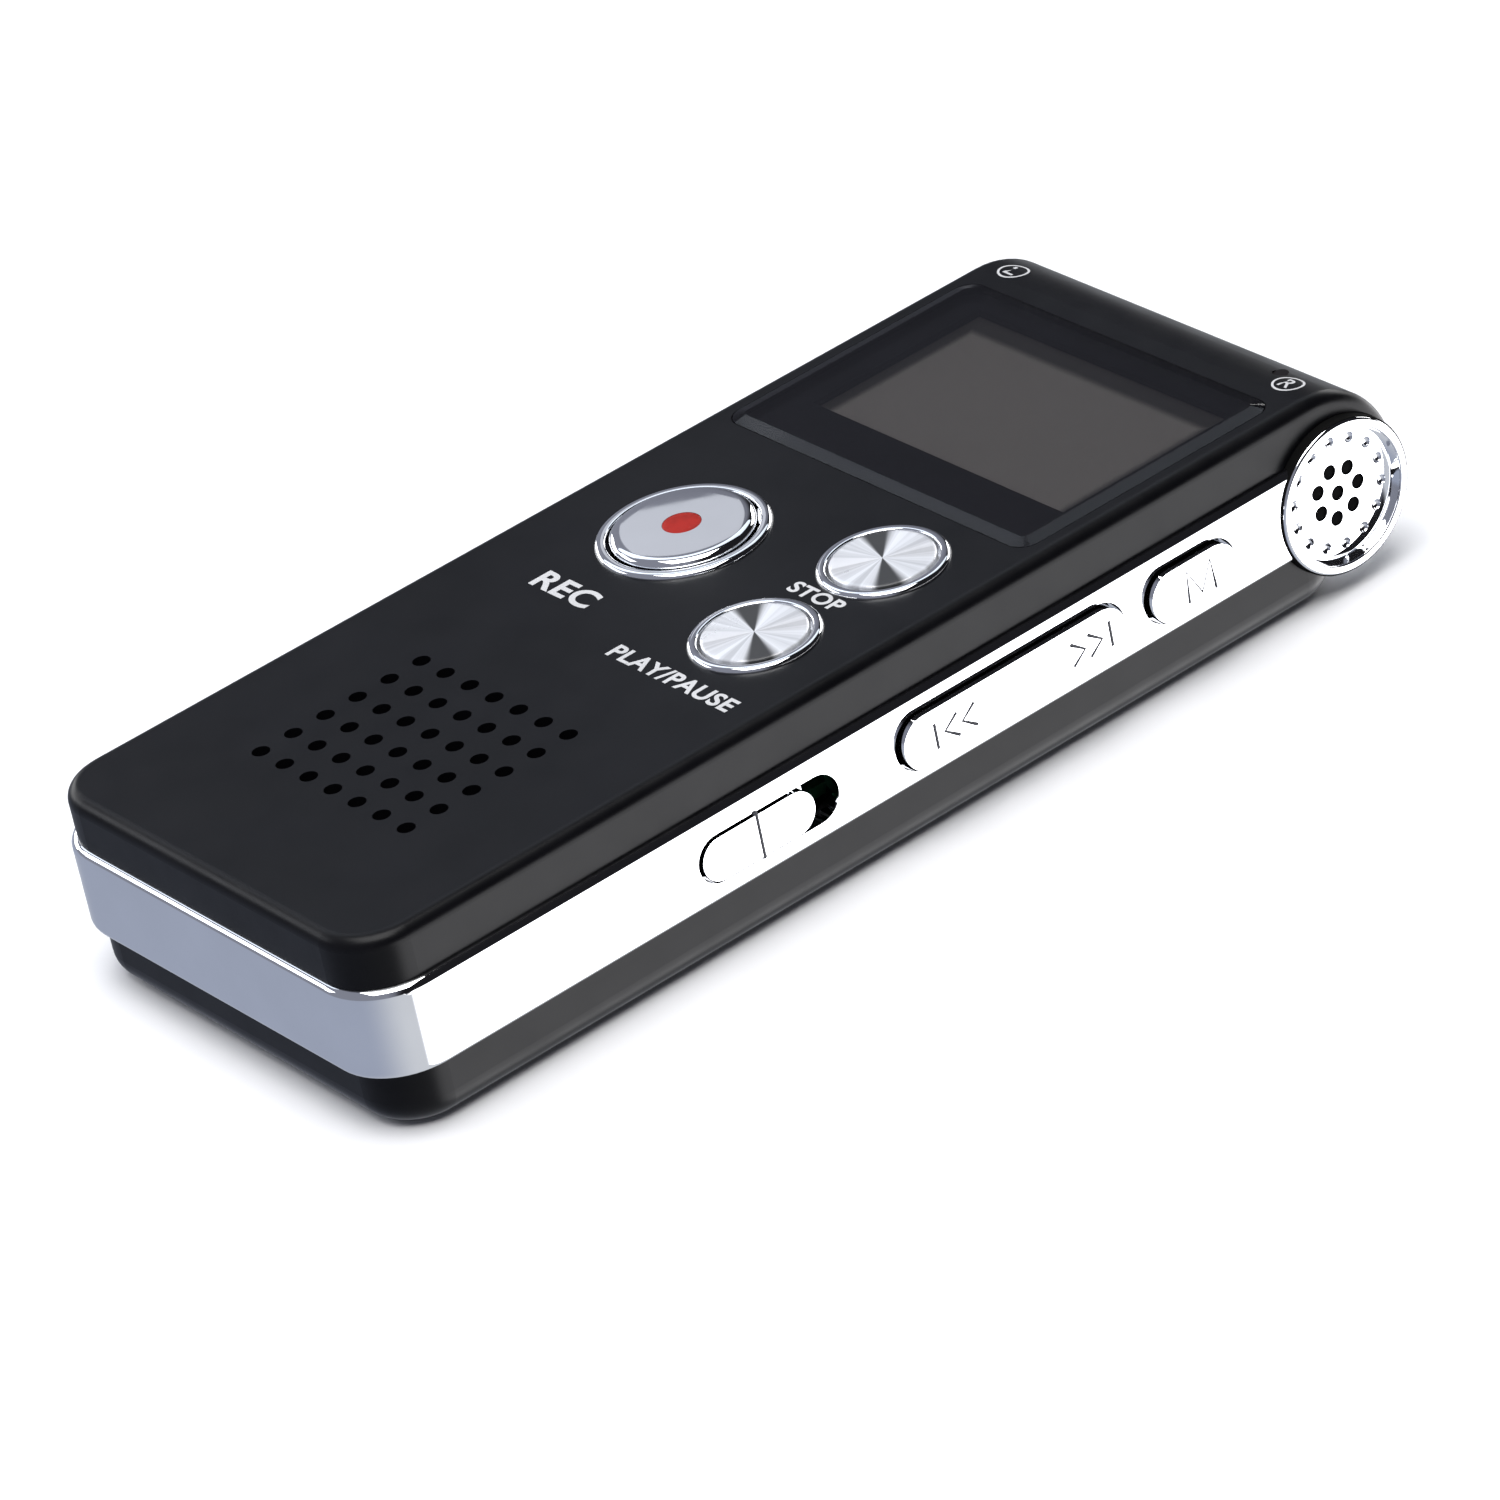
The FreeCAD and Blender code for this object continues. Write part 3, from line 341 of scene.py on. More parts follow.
@dataclass(frozen=True)
class SpunFinish(Finish):
    """Metal turned on a lathe: fine rings round a centre, which stretch its highlights.

    Two opposite sectors, along one plan direction, get a base colour near black: painted shade, the
    dark wedges that lamps leave on a spun face.
    """

    centre: Point = (0, 0, 0)
    # painted shade: plan direction of the two dark sectors, whose colour is dark_share of the plain
    # one where the dot product passes dark_span
    painted_shade_way: Point = (0.843, -0.538, 0)
    dark_share: float = 0.05
    dark_span: Span = (0.93, 0.985)
    ray_scale: float = 4.0
    ray_span: Span = (0.4, 0.6)
    ray_shade: float = 0.68
    stretch: float = 0.9
    ring_pitch: float = 0.11 * MM
    ring_depth: float = 0.0006 * MM

    def wire(self, graph: Graph) -> None:
        """Connect the tree, then add the rings, the painted shade of the two dark sectors and the
        direction of the highlights.
        """
        super().wire(graph)
        offset = graph.placed(self.centre)
        flat = graph.node("ShaderNodeVectorMath", {0: offset, 1: (1, 1, 0)}, operation="MULTIPLY")
        outward = graph.node("ShaderNodeVectorMath", {0: flat.outputs[0]}, operation="NORMALIZE")
        radius = graph.node("ShaderNodeVectorMath", {0: flat.outputs[0]}, operation="LENGTH")
        turns = graph.math("MULTIPLY", radius.outputs["Value"], 2 * math.pi / self.ring_pitch)
        rings = graph.spread(graph.math("SINE", turns), (-1, 1), WHOLE)
        along = graph.node("ShaderNodeVectorMath", {0: outward.outputs[0], 1: self.painted_shade_way},
                           operation="DOT_PRODUCT")
        painted_shade_sector = graph.spread(graph.math("ABSOLUTE", along.outputs["Value"]), self.dark_span,
                              WHOLE, True)
        inputs = {"Vector": outward.outputs[0], "Scale": self.ray_scale, "Detail": 4.0}
        rays = graph.node("ShaderNodeTexNoise", inputs).outputs["Fac"]
        plain = graph.mix(graph.spread(rays, self.ray_span, WHOLE),
                          opaque(self.colour, self.ray_shade), opaque(self.colour))
        # painted shade: the two sectors fade to a near-black base colour
        tint = graph.mix(painted_shade_sector, plain, opaque(self.colour, self.dark_share))
        graph.set(Base_Color=tint, Normal=graph.bump(rings, self.ring_depth),
                  Tangent=outward.outputs[0], Anisotropic=self.stretch)


@dataclass(frozen=True)
class SmokedFinish(Finish):
    """Tinted acrylic that lets what lies under it show."""

    cover: float = 0.5

    def wire(self, graph: Graph) -> None:
        """Connect the tree, then thin it."""
        super().wire(graph)
        graph.set(Alpha=self.cover)


@dataclass(frozen=True)
class PanelFinish(Finish):
    """Face of an unlit liquid crystal panel: a lit field, fine cells and a dark soft border all
    round, which is painted shadow of the frame round the opening.
    """

    centre: Point = (0, 0, 0)
    half_width: float = 11.9 * MM
    half_depth: float = 6.6 * MM
    border: float = 0.8 * MM
    cell: float = 0.32 * MM
    cell_shade: float = 0.97
    line_shade: float = 0.86
    line_width: float = 0.02
    # painted shadow: colour factor at the outer edge of the border
    border_painted_shadow: float = 0.18

    def wire(self, graph: Graph) -> None:
        """Connect the tree, then add the cells and the painted shadow along the border."""
        super().wire(graph)
        part = graph.node("ShaderNodeSeparateXYZ", {0: graph.placed(self.centre)}).outputs
        away = [graph.math("SUBTRACT", graph.math("ABSOLUTE", axis), half)
                for axis, half in ((part[0], self.half_width), (part[1], self.half_depth))]
        # painted shadow: 0 inside the field, 1 at its edge, over the border's width
        edge = graph.spread(graph.math("MAXIMUM", *away), (-self.border, 0), WHOLE, True)
        inputs = {"Vector": graph.placed(), "Scale": 1 / self.cell,
                  "Color1": opaque(self.colour), "Color2": opaque(self.colour, self.cell_shade),
                  "Mortar": opaque(self.colour, self.line_shade), "Mortar Size": self.line_width,
                  "Brick Width": 1.0, "Row Height": 1.0}
        cells = graph.node("ShaderNodeTexBrick", inputs, offset=0.0).outputs["Color"]
        graph.set(Base_Color=graph.mix(edge, cells, opaque(self.colour, self.border_painted_shadow)))


# ---- hand tools ----
class Bench:
    """Modelling operators, each used on one piece with nothing else selected."""

    MERGE = 0.0005 * MM
    LONG = 0.1 * MM
    ROUND_END = 0.4999
    LETTER_SPACE = 1.06

    @staticmethod
    def clear() -> None:
        """Leave nothing selected."""
        if bpy.context.view_layer.objects.active and bpy.context.mode != "OBJECT":
            bpy.ops.object.mode_set(mode="OBJECT")
        bpy.ops.object.select_all(action="DESELECT")

    @staticmethod
    def hold(*pieces: bpy.types.Object) -> None:
        """Select only these pieces, the first one active."""
        Bench.clear()
        for piece in pieces:
            piece.select_set(True)
        bpy.context.view_layer.objects.active = pieces[0]

    @staticmethod
    def newest(name: str) -> bpy.types.Object:
        """The object an operator has just added, named and with its place in its mesh.

        Args:
            name: name for it.

        Returns:
            The object.
        """
        piece = bpy.context.view_layer.objects.active
        piece.name = name
        piece.data.name = name
        bpy.ops.object.transform_apply(location=True, rotation=True, scale=True)
        return piece

    @staticmethod
    def pick(piece: bpy.types.Object, kind: Pick, test: Callable[[Any], bool]) -> None:
        """Select what passes a test, in edit mode.

        Args:
            piece: the piece to edit.
            kind: faces or edges.
            test: true for each face or edge to take.
        """
        Bench.hold(piece)
        bpy.ops.object.mode_set(mode="EDIT")
        bpy.ops.mesh.select_mode(type=kind.value)
        bpy.ops.mesh.select_all(action="DESELECT")
        mesh = bmesh.from_edit_mesh(piece.data)
        for item in mesh.faces if kind is Pick.FACES else mesh.edges:
            if test(item):
                item.select_set(True)
        bmesh.update_edit_mesh(piece.data)

    @staticmethod
    def settle(piece: bpy.types.Object, sharp: float = 32.0) -> bpy.types.Object:
        """Merge doubles, turn faces outwards and shade the piece.

        Args:
            piece: the piece to finish.
            sharp: angle above which an edge stays sharp, in degrees.

        Returns:
            The same piece.
        """
        Bench.hold(piece)
        bpy.ops.object.mode_set(mode="EDIT")
        bpy.ops.mesh.select_all(action="SELECT")
        bpy.ops.mesh.remove_doubles(threshold=Bench.MERGE)
        bpy.ops.mesh.normals_make_consistent(inside=False)
        bpy.ops.object.mode_set(mode="OBJECT")
        bpy.ops.object.shade_smooth_by_angle(angle=math.radians(sharp))
        return piece

    @staticmethod
    def block(name: str, low: Vector, high: Vector) -> bpy.types.Object:
        """Block between two corners.

        Args:
            name: name of the piece.
            low: lowest corner.
            high: highest corner.

        Returns:
            The piece.
        """
        Bench.clear()
        bpy.ops.mesh.primitive_cube_add(size=1, location=(low + high) / 2, scale=high - low)
        return Bench.newest(name)

    @staticmethod
    def turned(name: str, centre: Vector, axis: Axis, rings: Sequence[Ring], steps: int = 96,
               closed: bool = False) -> bpy.types.Object:
        """Piece built up ring by ring on one axis.

        Args:
            name: name of the piece.
            centre: a point on the axis.
            axis: direction of the axis.
            rings: radius and distance along the axis of each ring.
            steps: corners in a ring.
            closed: leave the middle open and join the last ring to the first.

        Returns:
            The piece.
        """
        way = axis.value
        across = Vector((1, 1, 1)) - way
        turn = (0, math.pi / 2, 0) if axis is Axis.ACROSS else (0, 0, 0)
        Bench.clear()
        bpy.ops.mesh.primitive_circle_add(vertices=steps, radius=rings[0][0], rotation=turn,
                                          fill_type="NOTHING" if closed else "NGON",
                                          location=centre + way * rings[0][1])
        piece = Bench.newest(name)
        bpy.ops.object.mode_set(mode="EDIT")
        bpy.ops.mesh.select_all(action="SELECT")
        for (old_r, old_h), (new_r, new_h) in zip(rings, rings[1:] + (rings[:1] if closed else [])):
            lift = way * (new_h - old_h)
            bpy.ops.mesh.extrude_region_move(TRANSFORM_OT_translate={"value": lift})
            scale = way + across * (new_r / old_r)
            bpy.ops.transform.resize(value=scale, center_override=centre + way * new_h)
        bpy.ops.object.mode_set(mode="OBJECT")
        return piece

    @staticmethod
    def bar(name: str, low: Vector, high: Vector, steps: int = 20) -> bpy.types.Object:
        """Bar along Y with fully round ends, standing out along X.

        Args:
            name: name of the piece.
            low: lowest corner of its box.
            high: highest corner of its box.
            steps: segments in each quarter of an end.

        Returns:
            The piece.
        """
        piece = Bench.block(name, low, high)
        width = (high.z - low.z) * Bench.ROUND_END
        Bench.soften(piece, lambda e: Bench.runs(e, 0), width, steps, False)
        return piece

    @staticmethod
    def runs(edge: Any, axis: int) -> bool:
        """Whether an edge has some length along an axis."""
        return abs(edge.verts[0].co[axis] - edge.verts[1].co[axis]) > Bench.LONG

    @staticmethod
    def lies(edge: Any, axis: int, away: float) -> bool:
        """Whether an edge lies at a distance from the origin along an axis, on either side."""
        return all(abs(abs(v.co[axis]) - away) < TOUCH for v in edge.verts)

    @staticmethod
    def copied(piece: bpy.types.Object, change: Matrix) -> bpy.types.Object:
        """Copy of a piece with its own mesh, moved by a matrix.

        Args:
            piece: the piece.
            change: what happens to the copy's mesh.

        Returns:
            The copy.
        """
        copy = piece.copy()
        copy.data = piece.data.copy()
        bpy.context.scene.collection.objects.link(copy)
        copy.data.transform(change)
        return copy

    @staticmethod
    def soften(piece: bpy.types.Object, test: Callable[[Any], bool], width: float,
               segments: int, clamped: bool = True) -> None:
        """Round the edges that pass a test.

        Args:
            piece: the piece to edit.
            test: true for each edge to round.
            width: width of the rounding.
            segments: faces across it.
            clamped: stop where two roundings would meet.
        """
        Bench.pick(piece, Pick.EDGES, test)
        bpy.ops.mesh.bevel(offset=width, segments=segments, profile=0.5, clamp_overlap=clamped)
        bpy.ops.object.mode_set(mode="OBJECT")

    @staticmethod
    def cut(piece: bpy.types.Object, tool: bpy.types.Object) -> None:
        """Take a tool's shape out of a piece and throw the tool away.

        Args:
            piece: the piece that is cut.
            tool: the shape taken out.
        """
        Bench.settle(tool)
        Bench.hold(piece)
        change = piece.modifiers.new("cut", "BOOLEAN")
        change.operation = "DIFFERENCE"
        change.solver = "EXACT"
        change.object = tool
        bpy.ops.object.modifier_apply(modifier=change.name)
        bpy.data.objects.remove(tool)

    @staticmethod
    def crease(piece: bpy.types.Object, test: Callable[[Any], bool]) -> None:
        """Keep the edges that pass a test sharp, so that the face between them shades flat.

        Args:
            piece: a piece that is already shaded.
            test: true for each edge to keep sharp.
        """
        Bench.pick(piece, Pick.EDGES, test)
        bpy.ops.mesh.mark_sharp()
        bpy.ops.object.mode_set(mode="OBJECT")

    @staticmethod
    def joined(name: str, pieces: Sequence[bpy.types.Object]) -> bpy.types.Object:
        """Several pieces as one object.

        Args:
            name: name of the result.
            pieces: the pieces; the first one stays.

        Returns:
            The joined piece.
        """
        Bench.hold(*pieces)
        if len(pieces) > 1:
            bpy.ops.object.join()
        pieces[0].name = name
        pieces[0].data.name = name
        return pieces[0]

    @staticmethod
    def ringed(piece: bpy.types.Object, centre: Vector, axis: Axis, count: int) -> bpy.types.Object:
        """Copies of a piece spaced evenly round an axis, joined with it.

        Args:
            piece: the piece that is repeated.
            centre: a point on the axis.
            axis: direction of the axis.
            count: how many there are in the end.

        Returns:
            All of them as one piece.
        """
        copies = [piece]
        for step in range(1, count):
            turn = Matrix.Rotation(2 * math.pi * step / count, 4, axis.value)
            change = Matrix.Translation(centre) @ turn @ Matrix.Translation(-centre)
            copies.append(Bench.copied(piece, change))
        return Bench.joined(piece.name, copies)

    @staticmethod
    def scribed(name: str, strokes: Sequence[Stroke], centre: Vector, size: float,
                radius: float) -> bpy.types.Object:
        """Thin round bars along the strokes of a sign on a side face.

        Args:
            name: name of the piece.
            strokes: corner points of each stroke, in units of the size.
            centre: middle of the sign.
            size: height of the sign.
            radius: radius of the bars.

        Returns:
            The bars as one mesh.
        """
        data = bpy.data.curves.new(name, "CURVE")
        data.dimensions = "3D"
        data.bevel_depth = radius
        data.bevel_resolution = 2
        data.use_fill_caps = True
        for stroke in strokes:
            line = data.splines.new("POLY")
            line.points.add(len(stroke) - 1)
            for point, (along, up) in zip(line.points, stroke):
                point.co = (*(centre + Vector((0, along, up)) * size), 1)
        piece = bpy.data.objects.new(name, data)
        bpy.context.scene.collection.objects.link(piece)
        Bench.hold(piece)
        bpy.ops.object.convert(target="MESH")
        piece.data.name = name
        return piece

    @staticmethod
    def lettered(name: str, words: str, low: Vector, size: tuple[float, float],
                 weight: float, thickness: float) -> bpy.types.Object:
        """Thin flat letters that lie facing up.

        Args:
            name: name of the piece.
            words: the letters.
            low: lowest corner of their box.
            size: width and height of that box.
            weight: how much bolder the strokes are than the plain face, in font units.
            thickness: thickness of the ink.

        Returns:
            The letters as one mesh.
        """
        Bench.clear()
        bpy.ops.object.text_add(location=(0, 0, 0))
        piece = bpy.context.view_layer.objects.active
        piece.data.body = words
        piece.data.offset = weight
        piece.data.space_character = Bench.LETTER_SPACE
        bpy.ops.object.convert(target="MESH")
        corners = [Vector(c) for c in piece.bound_box]
        least = Vector(map(min, *corners))
        most = Vector(map(max, *corners))
        scale = (size[0] / (most.x - least.x), size[1] / (most.y - least.y), 1)
        piece.data.transform(Matrix.Diagonal((*scale, 1)) @ Matrix.Translation(-least))
        piece.data.transform(Matrix.Translation(low))
        bpy.ops.object.mode_set(mode="EDIT")
        bpy.ops.mesh.select_all(action="SELECT")
        bpy.ops.mesh.extrude_region_move(TRANSFORM_OT_translate={"value": (0, 0, thickness)})
        bpy.ops.object.mode_set(mode="OBJECT")
        piece.name = name
        piece.data.name = name
        return Bench.settle(piece)


def place(piece: bpy.types.Object, finish: Finish, body: str, slot: str, *nodes: str) -> None:
    """Dress a finished piece and put it on its body.

    Args:
        piece: the piece.
        finish: what its surface is like.
        body: the body it moves with.
        slot: name of a finish slot; not used.
        nodes: the nodes it stands for.
    """
    piece.data.materials.clear()
    piece.data.materials.append(finish.material())
    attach(piece, body)
    if nodes:
        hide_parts(*nodes)
    LOG.info("%s on %s: %d faces, for %s", piece.name, body, len(piece.data.polygons),
             ", ".join(nodes) or "itself")


def shoulder(radius: float, top: float, width: float, drop: float, steps: int) -> list[Ring]:
    """Rings of a rounded edge, from the wall to the face.

    Args:
        radius: radius of the wall.
        top: height of the face.
        width: how far the rounding goes inwards; below 0 round a hole.
        drop: how far it goes down the wall.
        steps: bands in it.

    Returns:
        The rings.
    """
    angles = [math.pi / 2 * step / steps for step in range(steps + 1)]
    return [(radius - width * (1 - math.cos(angle)), top - drop * (1 - math.sin(angle)))
            for angle in angles]


# ---- finishes of this recorder ----
BLACK_CASE = Finish("satin_black_plastic", (0.0030, 0.0030, 0.0040), 0.33, specular=0.15,
                    tint_shift=0.2, gloss_shift=0.12, grain_depth=0.0016 * MM)
CHROME = Finish("bright_chrome_plate", (0.90, 0.91, 0.93), 0.045, metallic=1.0, tint_shift=0.02,
                gloss_shift=0.35, grain_size=0.5 * MM, grain_depth=0.0001 * MM,
                ripple_size=6 * MM, ripple_depth=0.004 * MM)
SEAL = Finish("black_seal", (0.004, 0.004, 0.004), 0.8, specular=0.05, grain_size=0.1 * MM)
SIGN_INK = Finish("grey_sign_paint", (0.055, 0.057, 0.066), 0.5, specular=0.2)
WHITE_INK = Finish("white_print", (0.52, 0.52, 0.53), 0.5, tint_shift=0.05, grain_size=0.05 * MM)
RED_ENAMEL = Finish("red_enamel", (0.29, 0.013, 0.008), 0.5, specular=0.15, tint_shift=0.12,
                    tint_size=0.8 * MM)
WINDOW = SmokedFinish("smoked_acrylic", (0.006, 0.006, 0.008), 0.07, specular=0.5,
                      grain_depth=0.0001 * MM, ripple_size=8 * MM, ripple_depth=0.001 * MM,
                      cover=0.5)
LIGHT_CAP = Finish("dark_lens", (0.004, 0.002, 0.002), 0.3, specular=0.2, grain_depth=0.0002 * MM)
SPUN = SpunFinish("spun_metal", (0.90, 0.91, 0.94), 0.3, metallic=0.5, tint_shift=0.02)
PANEL = PanelFinish("unlit_panel", (0.76, 0.70, 0.66), 0.45)
BY_SLOT: dict[str, Finish] = {
    "black_case": BLACK_CASE,
    "chrome_plate": CHROME,
    "spun_metal": Finish("plain_metal", (0.7, 0.7, 0.72), 0.25, metallic=1.0),
    "red_enamel": RED_ENAMEL,
    "window_plastic": WINDOW,
    "white_plastic": Finish("white_diffuser", (0.72, 0.72, 0.7), 0.55, grain_size=0.2 * MM),
    "circuit_board": Finish("green_laminate", (0.02, 0.10, 0.045), 0.35, coat=0.3,
                            pattern=Pattern.TRACES, pattern_size=1.4 * MM),
    "switch_black": Finish("black_package", (0.02, 0.02, 0.022), 0.5, grain_size=0.1 * MM),
    "steel": Finish("pressed_steel", (0.56, 0.56, 0.58), 0.22, metallic=1.0, gloss_shift=0.3,
                    grain_size=0.3 * MM, grain_depth=0.0006 * MM),
    "rubber": Finish("soft_rubber", (0.025, 0.025, 0.027), 0.75, specular=0.3,
                     grain_size=0.1 * MM, grain_depth=0.003 * MM),
    "mesh_cloth": Finish("speaker_cloth", (0.016, 0.016, 0.018), 0.85, specular=0.2,
                         pattern=Pattern.WEAVE, pattern_size=0.18 * MM),
    "paper_cone": Finish("pressed_paper", (0.06, 0.055, 0.05), 0.8, grain_size=0.25 * MM,
                         grain_depth=0.006 * MM),
    "battery_foil": Finish("battery_foil", (0.45, 0.46, 0.48), 0.35, metallic=1.0,
                           pattern=Pattern.FOIL, pattern_size=4 * MM),
    "wire": Finish("wire_jacket", (0.35, 0.02, 0.02), 0.45, grain_size=0.3 * MM),
}


# ---- sub-assemblies ----
@dataclass
class Housing:
    """Covers, chrome band and everything that only needs a finish."""

    special: dict[str, Finish] = field(default_factory=lambda: {"led_lens": LIGHT_CAP})

    def dress(self) -> None:
        """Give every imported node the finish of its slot."""
        low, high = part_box("lcd_glass")
        self.special["lcd_glass"] = replace(PANEL, centre=tuple((low + high) / 2))
        for name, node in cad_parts.items():
            for held in node.material_slots:
                slot = held.material.name.split(".")[0] if held.material else "black_case"
                held.material = self.special.get(name, BY_SLOT.get(slot, BLACK_CASE)).material()
        LOG.info("%d nodes dressed", len(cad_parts))


@dataclass
class RoundKey:
    """Front key: bezel ring, cap and, on the record key, an enamel dot."""

    name: str
    body: str
    spun: bool
    outer: float
    inner: float
    crown: float = 0.0
    edge_drop: float = 0.12 * MM
    edge_width: float = 0.25 * MM
    gap: float = 0.1 * MM
    wall: float = 0.32 * MM
    round_share: float = 0.45
    lip: float = 0.16 * MM
    stem: float = 1.2 * MM
    flange: Span = (0.7 * MM, 0.1 * MM)
    crown_steps: int = 9
    pocket: Span = (1.3 * MM, 0.2 * MM)
    dome: tuple[Ring, ...] = ((1.28, -0.2), (1.28, -0.02), (1.22, 0.015), (0.9, 0.035), (0.4, 0.045))

    def build(self) -> None:
        """Model and place the ring, the cap and the dot."""
        self.ring()
        self.cap()
        if not self.spun:
            self.dot()

    def centre(self) -> Vector:
        """Point on the key's axis, at height 0."""
        low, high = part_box(self.name + "_button")
        return Vector(((low.x + high.x) / 2, (low.y + high.y) / 2, 0))

    def ring(self) -> None:
        """Bezel: a low rounded ring with a spigot through the cover."""
        low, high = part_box(self.name + "_bezel")
        inner = self.inner + self.gap
        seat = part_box("top_cover")[1].z
        rings = [(inner, low.z), (inner + self.wall, low.z), (inner + self.wall, seat)]
        rings += shoulder(self.outer, high.z, (self.outer - inner) * self.round_share,
                          high.z - seat, steps=6)
        rings += reversed(shoulder(inner, high.z, -self.lip, self.lip, steps=5))
        piece = Bench.turned(self.name + "_key_ring", self.centre(), Axis.UP, rings, FINE, True)
        place(Bench.settle(piece, 40), CHROME, "case", "chrome_plate", self.name + "_bezel")

    def cap(self) -> None:
        """Cap: a flange under the cover, a straight wall, a rounded shoulder and the face."""
        low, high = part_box(self.name + "_button")
        radius, flange = self.inner - self.gap, (high.x - low.x) / 2
        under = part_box(self.name + "_bezel")[0].z
        bottom, top = (under - depth for depth in self.flange)
        rings = [(self.stem, low.z), (self.stem, bottom), (flange, bottom), (flange, top),
                 (radius, top)]
        rings += shoulder(radius, high.z - self.crown, self.edge_width, self.edge_drop, steps=8)
        for step in range(1, self.crown_steps):
            share = 1 - step / self.crown_steps
            rings.append(((radius - self.edge_width) * share, high.z - self.crown * share ** 2))
        piece = Bench.turned(self.name + "_key_cap", self.centre(), Axis.UP, rings, FINE)
        finish, slot = CHROME, "chrome_plate"
        if self.spun:
            finish = replace(SPUN, name=self.name + "_spun_metal", centre=tuple(self.centre()))
            slot = "spun_metal"
        else:
            width, depth = self.pocket
            hole = [(width, high.z - depth), (width, high.z + 1 * MM)]
            Bench.cut(piece, Bench.turned("hole", self.centre(), Axis.UP, hole, PLAIN))
        place(Bench.settle(piece, 40), finish, self.body, slot, self.name + "_button")

    def dot(self) -> None:
        """Enamel dot, slightly domed, in its pocket."""
        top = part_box(self.name + "_button")[1].z
        rings = [(radius * MM, top + height * MM) for radius, height in self.dome]
        piece = Bench.turned("rec_key_dot", self.centre(), Axis.UP, rings, PLAIN)
        place(Bench.settle(piece, 50), RED_ENAMEL, self.body, "red_enamel", "rec_dot")


@dataclass
class SideKey:
    """Key through the side of the band: round-ended cap, wider plate behind, raised signs."""

    node: str
    body: str
    length: float
    height: float
    signs: tuple[tuple[Mark, float, float], ...]
    rim: float = 0.3 * MM
    stroke: float = 0.17 * MM
    sink: float = 0.12 * MM
    plate_start: float = 14.9 * MM
    plate_depth: float = 0.7 * MM
    plate_over: float = 0.45 * MM
    cap_start: float = 0.4 * MM

    def build(self) -> None:
        """Model the cap, its plate and its raised signs, and place them."""
        low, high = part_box(self.node)
        left = high.x <= 0
        back, face = (-high.x, -low.x) if left else (low.x, high.x)
        middle = (low + high) / 2
        plate = max(back, self.plate_start)
        cap = self.bar_between(self.node + "_cap", plate + self.cap_start, face, middle)
        Bench.soften(cap, lambda e: Bench.lies(e, 0, face), self.rim, 5)
        rear = self.bar_between("rear", plate, plate + self.plate_depth, middle, self.plate_over)
        fills = []
        for number, (sign, along, size) in enumerate(self.signs, 1):
            point = Vector((face - self.sink, middle.y + along, middle.z))
            fills.append(Bench.scribed(f"{self.node}_sign_{number}", sign.value, point, size,
                                       self.stroke))
        piece = Bench.joined(self.node + "_cap", [cap, rear])
        if left:
            for turned_over in (piece, *fills):
                turned_over.data.transform(MIRROR)
        Bench.settle(piece, 30)
        Bench.crease(piece, lambda e: Bench.lies(e, 0, face))
        place(piece, CHROME, self.body, "chrome_plate", self.node)
        for fill in fills:
            place(Bench.settle(fill, 50), SIGN_INK, self.body, "white_plastic")

    def bar_between(self, name: str, start: float, end: float, middle: Vector,
                    over: float = 0.0) -> bpy.types.Object:
        """Round-ended bar of the cap's outline, or a little larger.

        Args:
            name: name of the piece.
            start: nearest x.
            end: farthest x.
            middle: middle of the key.
            over: how much larger than the cap it is, on every side.

        Returns:
            The bar.
        """
        half_y, half_z = self.length / 2 + over, self.height / 2 + over
        low = Vector((start, middle.y - half_y, middle.z - half_z))
        high = Vector((end, middle.y + half_y, middle.z + half_z))
        return Bench.bar(name, low, high)


@dataclass
class Window:
    """Display window: one sheet of smoked acrylic with a polished bevel."""

    corner: float = 1.4 * MM
    bevel: float = 0.9 * MM
    drop: float = 0.24 * MM
    lift: float = 0.02 * MM

    def build(self) -> None:
        """Model the sheet, round its corners, bevel its rim and place it."""
        low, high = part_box("display_window")
        sheet = Bench.block("display_window_sheet", low + Vector((0, 0, self.lift)), high)
        Bench.soften(sheet, lambda e: Bench.runs(e, 2), self.corner, 10)
        Bench.pick(sheet, Pick.FACES, lambda f: f.normal.z > f.normal.xy.length)
        bpy.ops.mesh.inset(thickness=self.bevel)
        bpy.ops.object.mode_set(mode="OBJECT")
        inner = (high - low) / 2 - Vector((self.bevel, self.bevel, 0))
        middle = (low + high) / 2
        for vertex in sheet.data.vertices:
            away = vertex.co - middle
            outside = abs(away.x) > inner.x + TOUCH or abs(away.y) > inner.y + TOUCH
            if outside and abs(vertex.co.z - high.z) < TOUCH:
                vertex.co.z -= self.drop
        Bench.settle(sheet, 25)
        Bench.crease(sheet, lambda e: Bench.lies(e, 2, high.z))
        place(sheet, WINDOW, "case", "window_plastic", "display_window")


